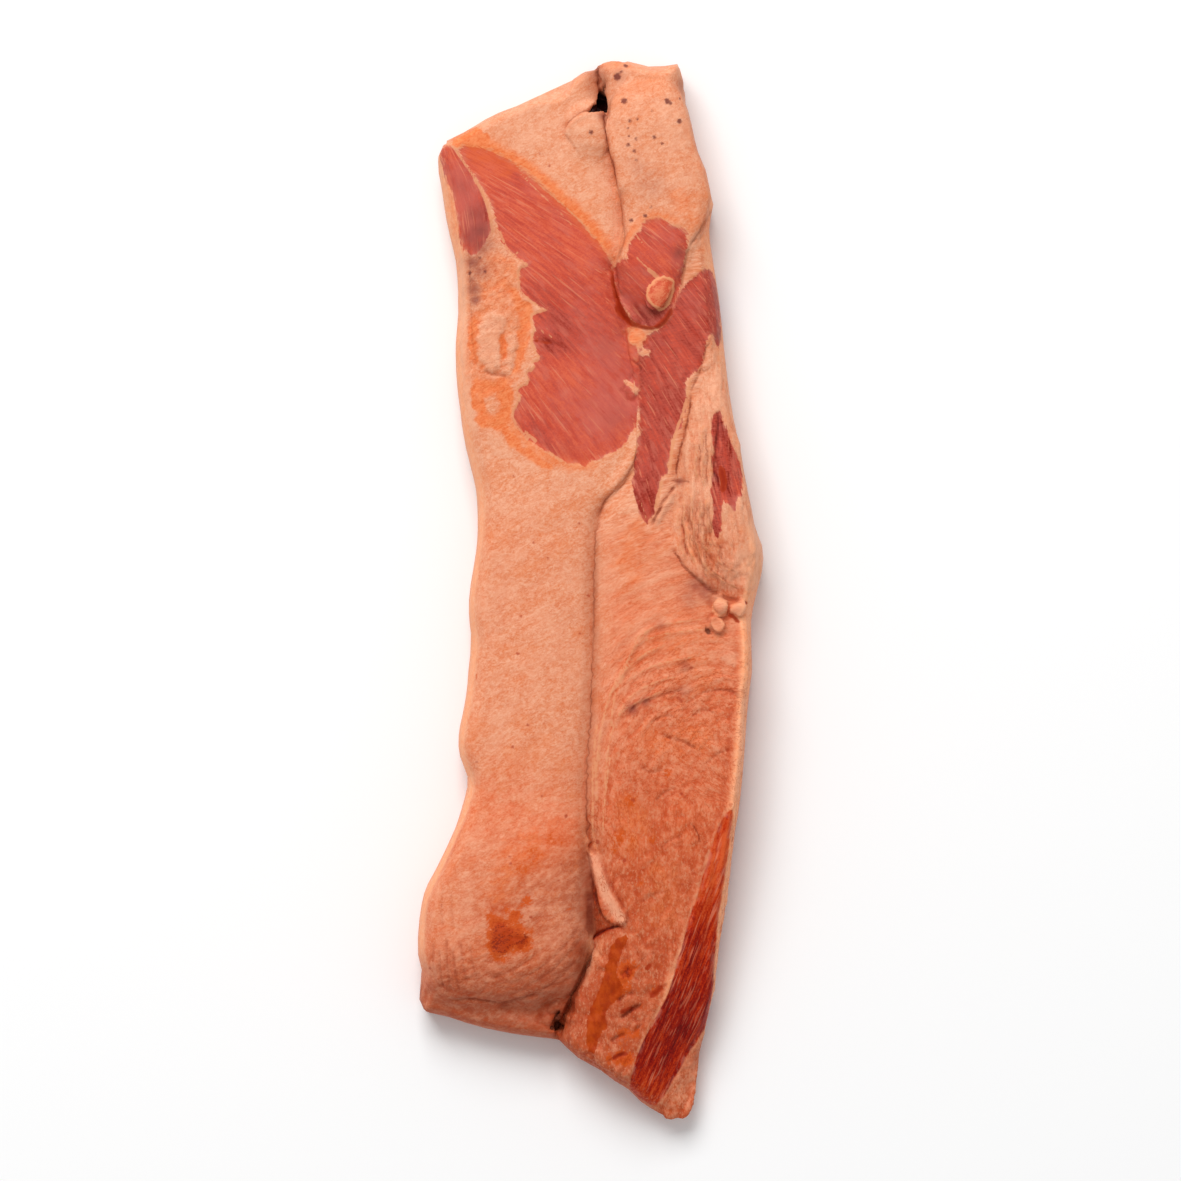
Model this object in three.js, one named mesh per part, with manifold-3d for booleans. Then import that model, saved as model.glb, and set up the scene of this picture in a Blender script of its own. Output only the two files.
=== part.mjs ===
// Smoked bacon slab: one cured piece of pork belly with two long lobes, a seam between them and folds of fat
import * as THREE from "three";
import { LoftGeometry } from "three/addons/geometries/LoftGeometry.js";
import { mergeVertices } from "three/addons/utils/BufferGeometryUtils.js";
import Module from "manifold-3d";

const wasm = await Module();
wasm.setup();

// Plan lines of the slab as [x, y] in millimetres, each from the tail end to the head end
const leftEdge = planLine([
  [-84, -208], [-86, -180], [-84, -154], [-75, -135], [-66, -114], [-62, -95], [-66, -76], [-61, -45],
  [-61, -8], [-56, 38], [-64, 85], [-67, 120], [-66, 145], [-72, 188], [-78, 223],
]);
const seamLine = planLine([
  [-17, -224], [-8, -200], [1, -177], [1, -135], [-2, -105], [1, -55], [2, -5], [3, 28], [8, 45], [22, 64],
  [22, 105], [12, 157], [16, 175], [14, 205], [7, 242], [9, 267],
]);
const rightEdge = planLine([
  [44, -268], [53, -250], [55, -233], [62, -200], [70, -145], [76, -100], [81, -45], [82, -14], [87, 14],
  [83, 35], [77, 62], [71, 95], [65, 145], [60, 180], [62, 195], [56, 210], [49, 239], [47, 263],
]);

// Grid of the slab: steps across each lobe, along the length and up the side
const lobeSteps = 16;
const lengthSteps = 84;
const sideSteps = 5;
const seamCrowding = 1.35;
const seamShare = 0.5;

// Heights of the two crests along the slab as [y, height] stations
const leftCrest = [[-209, 38], [-180, 43], [-140, 43], [-100, 40], [0, 40], [85, 39], [150, 38], [221, 36]];
const rightCrest = [[-266, 30], [-230, 33], [-180, 37], [-100, 40], [0, 40], [60, 39], [130, 38], [261, 37]];
const crownDrop = 2.5;
const crownFullness = 0.6;

// Seam: depth and how far its slopes reach into the left and right lobes
const seamDepth = [
  [-224, 20], [-190, 19], [-165, 15], [-130, 9], [-100, 7], [0, 6], [30, 4], [64, 2.5], [105, 2], [150, 4],
  [205, 4], [235, 8], [265, 10],
];
const seamReachLeft = [[-224, 13], [-165, 14], [-120, 7], [0, 6], [60, 4], [265, 4]];
const seamReachRight = [[-224, 2.5], [-165, 3], [-120, 5], [0, 6], [60, 4], [265, 4]];

// Rounded edges: how far each shoulder runs in from the outline, and the level where the slab is widest
const leftShoulder = 8;
const rightShoulder = 7;
const tailShoulder = 6;
const headShoulder = 5;
const footInset = 4;
const widestLevel = 15;
const footShare = 0.4;
const cornerRadius = 5;
const underCut = 3;

// Domed ball of fat that ends the left lobe, and the bowed lip at its foot
const ball = { x: -44, y: -160, top: 47, foot: 25, radiusX: 48, radiusY: 47, startY: -100, fullY: -165 };
const ballSquareness = 3;
const lip = { bow: 3, reach: 15 };

// Slanted cut along the right tail that bares a strip of lean
const cut = { fromX: 65, fromY: -118, toX: 24, toY: -230, slope: 0.5, startY: -90, fullY: -165 };

// Folds of fat: spine points as [x, y, z], half widths and half heights along the spine
const folds = [
  {
    spine: [
      [27, 263, 31], [29, 240, 33], [32, 220, 33], [38, 196, 33], [34, 174, 33], [30, 158, 33], [32, 129, 31],
    ],
    widths: [18, 21, 22, 23, 19, 18, 12],
    heights: [8, 10, 10, 10, 10, 10, 7],
  },
  {
    spine: [[62, 124, 31], [60, 95, 32], [60, 70, 33], [62, 45, 34], [67, 17, 33], [74, -6, 30]],
    widths: [4, 10, 15, 18, 19, 12],
    heights: [5, 8, 9, 10, 10, 7],
  },
  {
    spine: [[-1, -128, 32], [3, -147, 33], [8, -158, 33], [12, -169, 32]],
    widths: [3, 5, 6, 5],
    heights: [3, 4, 4, 3],
  },
  {
    spine: [[-3, 246, 32], [-2, 232, 33], [1, 214, 32]],
    widths: [9, 11, 8],
    heights: [4, 5, 4],
  },
];
const foldSteps = 16;
const foldSides = 16;
const foldSquareness = 0.75;
const foldEndSharpness = 6;
const foldEndShare = 0.15;

// Nodules of fat below the right-hand fold, and the oval rib end in the head fold
const nodules = [
  { x: 65, y: -8, z: 38, radiusX: 4.5, radiusY: 4.5, radiusZ: 4, turn: 0 },
  { x: 73.5, y: -9, z: 37, radiusX: 4, radiusY: 4.5, radiusZ: 4, turn: 0 },
  { x: 64, y: -16, z: 38, radiusX: 3, radiusY: 5, radiusZ: 3, turn: 0.5 },
  { x: 34, y: 148, z: 41, radiusX: 6, radiusY: 9, radiusZ: 3, turn: -0.5 },
];
const noduleSides = 10;

// Open mouths of the seam at the two ends
const pits = [
  { x: 5, y: 244, top: 46, depth: 28, radiusX: 3.5, radiusY: 6 },
  { x: -16.5, y: -217, top: 34, depth: 24, radiusX: 3, radiusY: 6 },
];
const pitSides = 10;

const weldGap = 1e-4;
const fatColor = 0xeaa078;
const fatRoughness = 0.5;

function planLine(points) {
  return new THREE.SplineCurve(points.map(([x, y]) => new THREE.Vector2(x, y)));
}

// Smooth value at y between the stations
function stationValue(stations, y) {
  const last = stations.length - 1;
  const next = stations.findIndex(([stationY]) => stationY >= y);
  if (next === 0) {
    return stations[0][1];
  }
  if (next < 0) {
    return stations[last][1];
  }
  const [y0, value0] = stations[next - 1];
  const [y1, value1] = stations[next];
  return THREE.MathUtils.lerp(value0, value1, THREE.MathUtils.smoothstep(y, y0, y1));
}

// How far the side stands in from the outline at a share of its height, for a given shoulder
function sideInset(up, shoulder) {
  if (up < footShare) {
    return footInset * (1 - Math.cos((1 - up / footShare) * Math.PI / 2));
  }
  return shoulder * (1 - Math.cos((up - footShare) / (1 - footShare) * Math.PI / 2));
}

// Level of the side at a share of its height, under a top of the given height
function sideLevel(up, top) {
  if (up < footShare) {
    return widestLevel - (widestLevel + underCut) * Math.sin((1 - up / footShare) * Math.PI / 2);
  }
  return widestLevel + (top - widestLevel) * Math.sin((up - footShare) / (1 - footShare) * Math.PI / 2);
}

// Inset that rounds the plan corners, from the distance to the nearer end
function cornerInset(fromEnd) {
  const reach = Math.max(0, cornerRadius - fromEnd);
  return cornerRadius - Math.sqrt(cornerRadius ** 2 - reach ** 2);
}

// Height of the ball over the plan
function ballHeight(x, y) {
  const sideways = Math.abs(x - ball.x) / ball.radiusX;
  const tailwards = Math.max(0, ball.y - y) / ball.radiusY;
  const away = (sideways ** ballSquareness + tailwards ** ballSquareness) ** (1 / ballSquareness);
  return ball.foot + (ball.top - ball.foot) * Math.sqrt(1 - Math.min(1, away) ** 2);
}

// Height of the top from the place in plan and the share across one lobe, 0 at its edge and 1 at the seam
function topHeight(x, y, isLeft, across, toSeam) {
  const crest = stationValue(isLeft ? leftCrest : rightCrest, y);
  const crown = crownDrop * (1 - Math.sin(Math.PI * across) ** crownFullness);
  const reach = stationValue(isLeft ? seamReachLeft : seamReachRight, y);
  const groove = stationValue(seamDepth, y) * Math.exp(-toSeam / reach);
  const height = crest - crown - groove;
  if (isLeft) {
    const beforeBall = THREE.MathUtils.smoothstep(y, ball.fullY, ball.startY);
    return THREE.MathUtils.lerp(ballHeight(x, y), height, beforeBall);
  }
  const runX = cut.toX - cut.fromX;
  const runY = cut.toY - cut.fromY;
  const pastCut = (runX * (y - cut.fromY) - runY * (x - cut.fromX)) / Math.hypot(runX, runY);
  const slope = cut.slope * (1 - THREE.MathUtils.smoothstep(y, cut.fullY, cut.startY));
  return height - slope * Math.max(0, pastCut);
}

// Point of the slab: share across, share along and share up
function slabPoint(across, along, up) {
  const length = seamLine.getLength();
  const tailInset = sideInset(up, tailShoulder);
  const headInset = sideInset(up, headShoulder);
  const run = THREE.MathUtils.lerp(tailInset / length, 1 - headInset / length, along);
  const isLeft = across < seamShare;
  const edge = (isLeft ? leftEdge : rightEdge).getPointAt(run);
  const seam = seamLine.getPointAt(run);
  const width = edge.distanceTo(seam);
  const shoulder = isLeft ? leftShoulder : rightShoulder;
  const fromEnd = Math.min(run, 1 - run) * length;
  const start = (sideInset(up, shoulder) + cornerInset(fromEnd)) / width;
  const fromEdge = isLeft ? across / seamShare : (1 - across) / (1 - seamShare);
  const share = THREE.MathUtils.lerp(start, 1, 1 - (1 - fromEdge) ** seamCrowding);
  const place = edge.clone().lerp(seam, share);
  const bowing = isLeft ? Math.max(0, 1 - run * length / lip.reach) : 0;
  const y = place.y - lip.bow * bowing * Math.sin(Math.PI * share);
  const top = topHeight(place.x, y, isLeft, share, (1 - share) * width);
  return new THREE.Vector3(place.x, y, sideLevel(up, top));
}

// Slab body: a gridded block with every grid point put in its place
function slabBody() {
  const block = new THREE.BoxGeometry(1, 1, 1, 2 * lobeSteps, lengthSteps, sideSteps);
  block.translate(0.5, 0.5, 0.5);
  const position = block.attributes.position;
  for (let i = 0; i < position.count; i++) {
    const point = slabPoint(position.getX(i), position.getY(i), position.getZ(i));
    position.setXYZ(i, point.x, point.y, point.z);
  }
  return block;
}

// Value at a share of the way along a short list
function listValue(values, share) {
  const place = share * (values.length - 1);
  const index = Math.min(Math.floor(place), values.length - 2);
  const blend = THREE.MathUtils.smoothstep(place - index, 0, 1);
  return THREE.MathUtils.lerp(values[index], values[index + 1], blend);
}

// Fold of fat: flattened oval sections swept along a spine
function foldBody({ spine, widths, heights }) {
  const curve = new THREE.CatmullRomCurve3(spine.map(([x, y, z]) => new THREE.Vector3(x, y, z)));
  const sections = [];
  for (let i = 0; i <= foldSteps; i++) {
    const share = i / foldSteps;
    const centre = curve.getPoint(share);
    const ahead = curve.getTangent(share);
    const side = new THREE.Vector3(ahead.y, -ahead.x, 0).normalize();
    const taper = Math.max(foldEndShare, Math.sqrt(1 - Math.abs(2 * share - 1) ** foldEndSharpness));
    const width = taper * listValue(widths, share);
    const height = taper * listValue(heights, share);
    const section = [];
    for (let j = 0; j < foldSides; j++) {
      const angle = -2 * Math.PI * j / foldSides;
      const outward = Math.sign(Math.cos(angle)) * Math.abs(Math.cos(angle)) ** foldSquareness;
      const upward = Math.sign(Math.sin(angle)) * Math.abs(Math.sin(angle)) ** foldSquareness;
      const point = centre.clone().addScaledVector(side, width * outward);
      point.z += height * upward;
      section.push(point);
    }
    sections.push(section);
  }
  const loft = new LoftGeometry(sections, { closed: true, capStart: true, capEnd: true });
  return new THREE.BufferGeometry().copy(loft);
}

// Nodule: an oval ball turned about the vertical
function noduleBody({ x, y, z, radiusX, radiusY, radiusZ, turn }) {
  const oval = new THREE.SphereGeometry(1, noduleSides, noduleSides);
  oval.rotateX(Math.PI / 2);
  oval.scale(radiusX, radiusY, radiusZ);
  oval.rotateZ(turn);
  oval.translate(x, y, z);
  return oval;
}

// Pit: an oval cone that narrows downwards
function pitBody({ x, y, top, depth, radiusX, radiusY }) {
  const cone = new THREE.ConeGeometry(1, depth, pitSides);
  cone.rotateX(-Math.PI / 2);
  cone.scale(radiusX, radiusY, 1);
  cone.translate(x, y, top - depth / 2);
  return cone;
}

// Block below the resting plane
function floorBody() {
  const size = 2 * rightEdge.getLength();
  const block = new THREE.BoxGeometry(size, size, 2 * widestLevel);
  block.translate(0, 0, -widestLevel);
  return block;
}

function toSolid(geometry) {
  geometry.deleteAttribute("normal");
  geometry.deleteAttribute("uv");
  const merged = mergeVertices(geometry, weldGap);
  const vertProperties = new Float32Array(merged.attributes.position.array);
  const triVerts = new Uint32Array(merged.index.array);
  return new wasm.Manifold(new wasm.Mesh({ numProp: 3, vertProperties, triVerts }));
}

function toGeometry(solid) {
  const mesh = solid.getMesh();
  const geometry = new THREE.BufferGeometry();
  geometry.setAttribute("position", new THREE.BufferAttribute(new Float32Array(mesh.vertProperties), 3));
  geometry.setIndex(new THREE.BufferAttribute(new Uint32Array(mesh.triVerts), 1));
  geometry.computeVertexNormals();
  return geometry;
}

// One solid: the body with its folds and nodules grown on, its pits opened and its underside cut flat
function slabSolid() {
  let solid = toSolid(slabBody());
  for (const fold of folds) {
    solid = solid.add(toSolid(foldBody(fold)));
  }
  for (const nodule of nodules) {
    solid = solid.add(toSolid(noduleBody(nodule)));
  }
  for (const pit of pits) {
    solid = solid.subtract(toSolid(pitBody(pit)));
  }
  return solid.subtract(toSolid(floorBody()));
}

const slabGeometry = toGeometry(slabSolid());
slabGeometry.computeBoundingBox();
const middle = slabGeometry.boundingBox.getCenter(new THREE.Vector3());
slabGeometry.translate(-middle.x, -middle.y, 0);

const meatMaterial = new THREE.MeshStandardMaterial({ color: fatColor, roughness: fatRoughness });
const slab = new THREE.Mesh(slabGeometry, meatMaterial);
slab.name = "bacon_slab";

const part = new THREE.Group();
part.name = "smoked_bacon_slab";
part.add(slab);

export default part;
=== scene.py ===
import math
import bpy
import numpy as np
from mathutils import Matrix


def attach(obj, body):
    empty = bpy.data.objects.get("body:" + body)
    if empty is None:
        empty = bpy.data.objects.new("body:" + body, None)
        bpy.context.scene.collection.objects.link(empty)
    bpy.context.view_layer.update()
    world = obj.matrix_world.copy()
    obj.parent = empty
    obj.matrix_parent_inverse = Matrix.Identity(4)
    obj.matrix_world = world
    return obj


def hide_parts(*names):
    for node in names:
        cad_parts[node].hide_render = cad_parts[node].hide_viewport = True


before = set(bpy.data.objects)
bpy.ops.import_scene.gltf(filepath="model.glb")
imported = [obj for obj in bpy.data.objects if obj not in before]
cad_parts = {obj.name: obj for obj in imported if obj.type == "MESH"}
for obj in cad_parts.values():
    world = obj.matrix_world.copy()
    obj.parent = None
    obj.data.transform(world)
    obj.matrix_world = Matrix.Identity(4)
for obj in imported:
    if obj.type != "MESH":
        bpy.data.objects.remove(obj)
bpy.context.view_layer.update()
print("frame loaded")

mm = 0.001  # marks and reliefs are in millimetres, meshes in metres
picture = {"midX": 590.5, "midY": 590.0, "mmPerPixel": 0.5}  # the slab seen straight from above


def trace(pixels):
    scale = picture["mmPerPixel"]
    return (np.array(pixels, float) - (picture["midX"], picture["midY"])) * (scale, -scale)


def roundOff(line, closed=False):
    starts = line if closed else line[:-1]
    ends = np.roll(line, -1, axis=0) if closed else line[1:]
    cuts = np.stack([0.75 * starts + 0.25 * ends, 0.25 * starts + 0.75 * ends], axis=1).reshape(-1, 2)
    return cuts if closed else np.vstack([line[:1], cuts, line[-1:]])


def ease(values, low, high):
    t = np.clip((values - low) / (high - low), 0.0, 1.0)
    return t * t * (3.0 - 2.0 * t)


# 1 along the middle of a drawn line, fading out at its ends
def tapered(station, fadeIn, fadeOut, lead=-0.02):
    return ease(station, lead, fadeIn) * ease(1.0 - station, lead, fadeOut)


# from a place given in pixels to each point, in mm
def offsets(places, px, py):
    return places - trace([(px, py)])[0]


def distances(places, px, py):
    return np.hypot(*offsets(places, px, py).T)


# 1 at no distance, falling off smoothly about the reach
def bell(gap, reach):
    return np.exp(-(gap / reach) ** 2)


# distance to a drawn line, how far along it the nearest point lies, 0 to 1, and its side, 1 or -1
def lineReach(points, line):
    steps = np.hypot(*(line[1:] - line[:-1]).T)
    starts = np.concatenate([[0.0], np.cumsum(steps)])
    nearest = np.full(len(points), 1e9)
    station = np.zeros(len(points))
    sideOf = np.ones(len(points))
    for i, step in enumerate(steps):
        run = line[i + 1] - line[i]
        t = np.clip(((points - line[i]) @ run) / max(step * step, 1e-9), 0.0, 1.0)
        gap = points - (line[i] + t[:, None] * run)
        reach = np.hypot(gap[:, 0], gap[:, 1])
        closer = reach < nearest
        nearest[closer] = reach[closer]
        station[closer] = ((starts[i] + t * step) / starts[-1])[closer]
        sideOf[closer] = np.where(run[0] * gap[:, 1] >= run[1] * gap[:, 0], 1.0, -1.0)[closer]
    return nearest, station, sideOf


# signed distance to a closed outline, positive inside
def patchReach(points, outline):
    inside = np.zeros(len(points), bool)
    following = np.roll(outline, -1, axis=0)
    for a, b in zip(outline, following):
        if a[1] == b[1]:
            continue
        spans = (a[1] > points[:, 1]) != (b[1] > points[:, 1])
        crossing = a[0] + (points[:, 1] - a[1]) * (b[0] - a[0]) / (b[1] - a[1])
        inside ^= spans & (points[:, 0] < crossing)
    reach = lineReach(points, np.vstack([outline, outline[:1]]))[0]
    return np.where(inside, reach, -reach)


def latticeNoise(points, seed):
    cell = np.floor(points).astype(np.int64)
    part = points - cell
    part = part * part * (3.0 - 2.0 * part)
    total = np.zeros(len(points))
    for corner in np.ndindex(2, 2, 2):
        x, y, z = (cell + corner).T
        code = (x * 374761393 + y * 668265263 + z * 1440662683 + seed * 974634777) & 0xFFFFFFFF
        code = ((code ^ (code >> 13)) * 1274126177) & 0xFFFFFFFF
        value = (code ^ (code >> 16)) / 4294967296.0
        weight = np.prod(np.where(corner, part, 1.0 - part), axis=1)
        total += weight * value
    return total * 2.0 - 1.0


def cloudNoise(points, seed, octaves=3):
    total = np.zeros(len(points))
    for octave in range(octaves):
        total += latticeNoise(points * 2.0 ** octave, seed + octave) * 0.5 ** octave
    return total


slabSettings = {
    "voxel": 1.0 * mm,
    "smoothing": 6,
    "mostTriangles": 190000,
    "rindLevel": 2.5,  # mm above the board where the rind ends
}

# the slab starts as the CAD solid, merged, remeshed fine and softened
bpy.ops.object.select_all(action="DESELECT")
slab = bpy.data.objects.new("slab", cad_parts["bacon_slab"].data.copy())
bpy.context.scene.collection.objects.link(slab)
slab.select_set(True)
bpy.context.view_layer.objects.active = slab
slab.data.materials.clear()
bpy.ops.object.mode_set(mode="EDIT")
bpy.ops.mesh.select_all(action="SELECT")
bpy.ops.mesh.remove_doubles(threshold=0.01 * mm)
bpy.ops.object.mode_set(mode="OBJECT")
remesh = slab.modifiers.new("fineSkin", "REMESH")
remesh.mode = "VOXEL"
remesh.voxel_size = slabSettings["voxel"]
bpy.ops.object.modifier_apply(modifier=remesh.name)
soften = slab.modifiers.new("soften", "SMOOTH")
soften.factor = 0.5
soften.iterations = slabSettings["smoothing"]
bpy.ops.object.modifier_apply(modifier=soften.name)


def setPoints(places):
    slab.data.vertices.foreach_set("co", (places * mm).astype(np.float32).ravel())
    slab.data.update()


def meshNormals():
    values = np.zeros(len(slab.data.vertices) * 3, np.float32)
    slab.data.vertex_normals.foreach_get("vector", values)
    return values.reshape(-1, 3).astype(float)


# the underside and the walls keep fewer faces than the shown side
thinning = slab.vertex_groups.new(name="thinning")
faceUp = meshNormals()[:, 2]
weights = np.where(faceUp < -0.6, 1.0, np.where(faceUp < 0.25, 0.35, 0.0))
for weight in np.unique(weights):
    thinning.add(np.nonzero(weights == weight)[0].tolist(), float(weight), "REPLACE")
thin = slab.modifiers.new("thin", "DECIMATE")
thin.ratio = min(1.0, slabSettings["mostTriangles"] / (2.0 * len(slab.data.polygons)))
thin.vertex_group = thinning.name
thin.use_collapse_triangulate = True
bpy.ops.object.modifier_apply(modifier=thin.name)
slab.vertex_groups.clear()
print("slab form:", len(slab.data.vertices), "points,", len(slab.data.polygons), "faces")

count = len(slab.data.vertices)
points = np.zeros(count * 3, np.float32)
slab.data.vertices.foreach_get("co", points)
points = points.reshape(-1, 3).astype(float) / mm
ends = np.zeros(len(slab.data.edges) * 2, np.int32)
slab.data.edges.foreach_get("vertices", ends)
firstEnd, secondEnd = ends[0::2], ends[1::2]
degree = np.bincount(firstEnd, minlength=count) + np.bincount(secondEnd, minlength=count)


def neighbourMean(values):
    sums = np.bincount(firstEnd, values[secondEnd], count) + np.bincount(secondEnd, values[firstEnd], count)
    return sums / degree


# each point moved a share of the way to the middle of its neighbours
def relaxed(places, share=1.0):
    averages = np.stack([neighbourMean(places[:, axis]) for axis in range(3)], axis=1)
    return places + np.reshape(share, (-1, 1)) * (averages - places)


# small dents and swellings of the outline: place in pixels, shift to +X and +Y and reach in mm
outlineShifts = [
    (555, 89, 2.4, -4.2, 8.0), (484, 121, -0.5, 0.8, 8.0), (440, 145, 0.4, 0.4, 5.0),
    (455, 258, 1.3, 0.0, 14.0), (474, 488, 0.7, 0.0, 11.0), (470, 640, 2.0, 0.0, 12.0),
    (464, 782, 1.4, 0.0, 9.0), (421, 972, 1.8, 0.0, 6.0), (697, 146, -0.7, 0.0, 12.0),
    (740, 440, 0.5, 0.0, 14.0), (755, 612, -0.8, 0.0, 13.0), (750, 695, -0.6, 0.0, 16.0),
    (686, 1110, 2.4, -3.2, 7.0), (655, 66, 0.0, -1.8, 7.0), (684, 74, 1.0, 3.0, 6.0),
    (626, 1087, 0.0, 1.5, 6.0), (578, 1057, 0.0, -1.2, 6.0), (422, 1006, -1.6, -3.0, 5.0),
    (605, 70, -3.4, 0.4, 5.0), (500, 112, 0.3, 1.0, 6.0), (613, 62, 0.0, 2.0, 5.0),
    (680, 1118, 0.8, -1.6, 4.0), (562, 84, 0.8, -1.0, 4.0), (596, 62, 0.4, -2.6, 4.0),
]
for px, py, shiftX, shiftY, reachMm in outlineShifts:
    near = bell(distances(points[:, :2], px, py), reachMm)
    points[:, :2] += near[:, None] * (shiftX, shiftY)

# worn corners: place in pixels, reach in mm, smoothing passes
wornCorners = [
    (682, 1114, 9.0, 12), (437, 147, 6.0, 6), (613, 60, 6.0, 16), (684, 72, 5.0, 10), (593, 902, 6.0, 30),
    (594, 917, 6.0, 30), (593, 933, 6.0, 30), (592, 947, 5.0, 24), (606, 887, 5.0, 14),
]
for px, py, reachMm, passes in wornCorners:
    share = ease(distances(points[:, :2], px, py), reachMm, 0.3 * reachMm)
    for step in range(passes):
        points = relaxed(points, share)

# narrow clefts and steps made soft: course in pixels, reach in mm, passes, lowest level that moves
easedClefts = [
    ([(591, 880), (594, 905), (595, 930), (590, 955), (583, 985), (574, 1003)], 6.0, 110, 4.0),
    ([(590, 894), (592, 910), (593, 926), (591, 944)], 5.0, 160, 0.3),
    ([(598, 520), (594, 550), (593, 590), (595, 640), (592, 690), (590, 740), (587, 800),
      (588, 846)], 3.5, 26, 4.0),
    ([(571, 143), (578, 153), (588, 158), (598, 159), (606, 156)], 6.0, 90, 4.0),
]
for course, reachMm, passes, lowest in easedClefts:
    reach, station, _ = lineReach(points[:, :2], roundOff(trace(course)))
    share = ease(reach, reachMm, 0.4 * reachMm) * tapered(station, 0.1, 0.1)
    share[points[:, 2] < lowest] = 0.0
    for step in range(passes):
        points[:, 2] += share * (neighbourMean(points[:, 2]) - points[:, 2])
setPoints(points)
normals = meshNormals()
plan = points[:, :2]
level = points[:, 2]
shown = ease(normals[:, 2], 0.1, 0.6)
picY = picture["midY"] - plan[:, 1] / picture["mmPerPixel"]

# the seam between the two lobes, from the head to the tail
seamLine = trace([
    (602, 68), (606, 82), (604, 100), (607, 125), (612, 155), (620, 190), (623, 215), (621, 245),
    (614, 265), (618, 290), (628, 330), (632, 360), (636, 395), (638, 430), (636, 455), (625, 475),
    (605, 500), (598, 520), (594, 550), (593, 590), (595, 640), (592, 690), (590, 740), (587, 800),
    (588, 840), (592, 880), (596, 930), (590, 950), (585, 985), (562, 1010), (556, 1030),
])
seamX = np.interp(plan[:, 1], seamLine[::-1, 1], seamLine[::-1, 0])
rightOfSeam = plan[:, 0] - seamX

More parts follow.
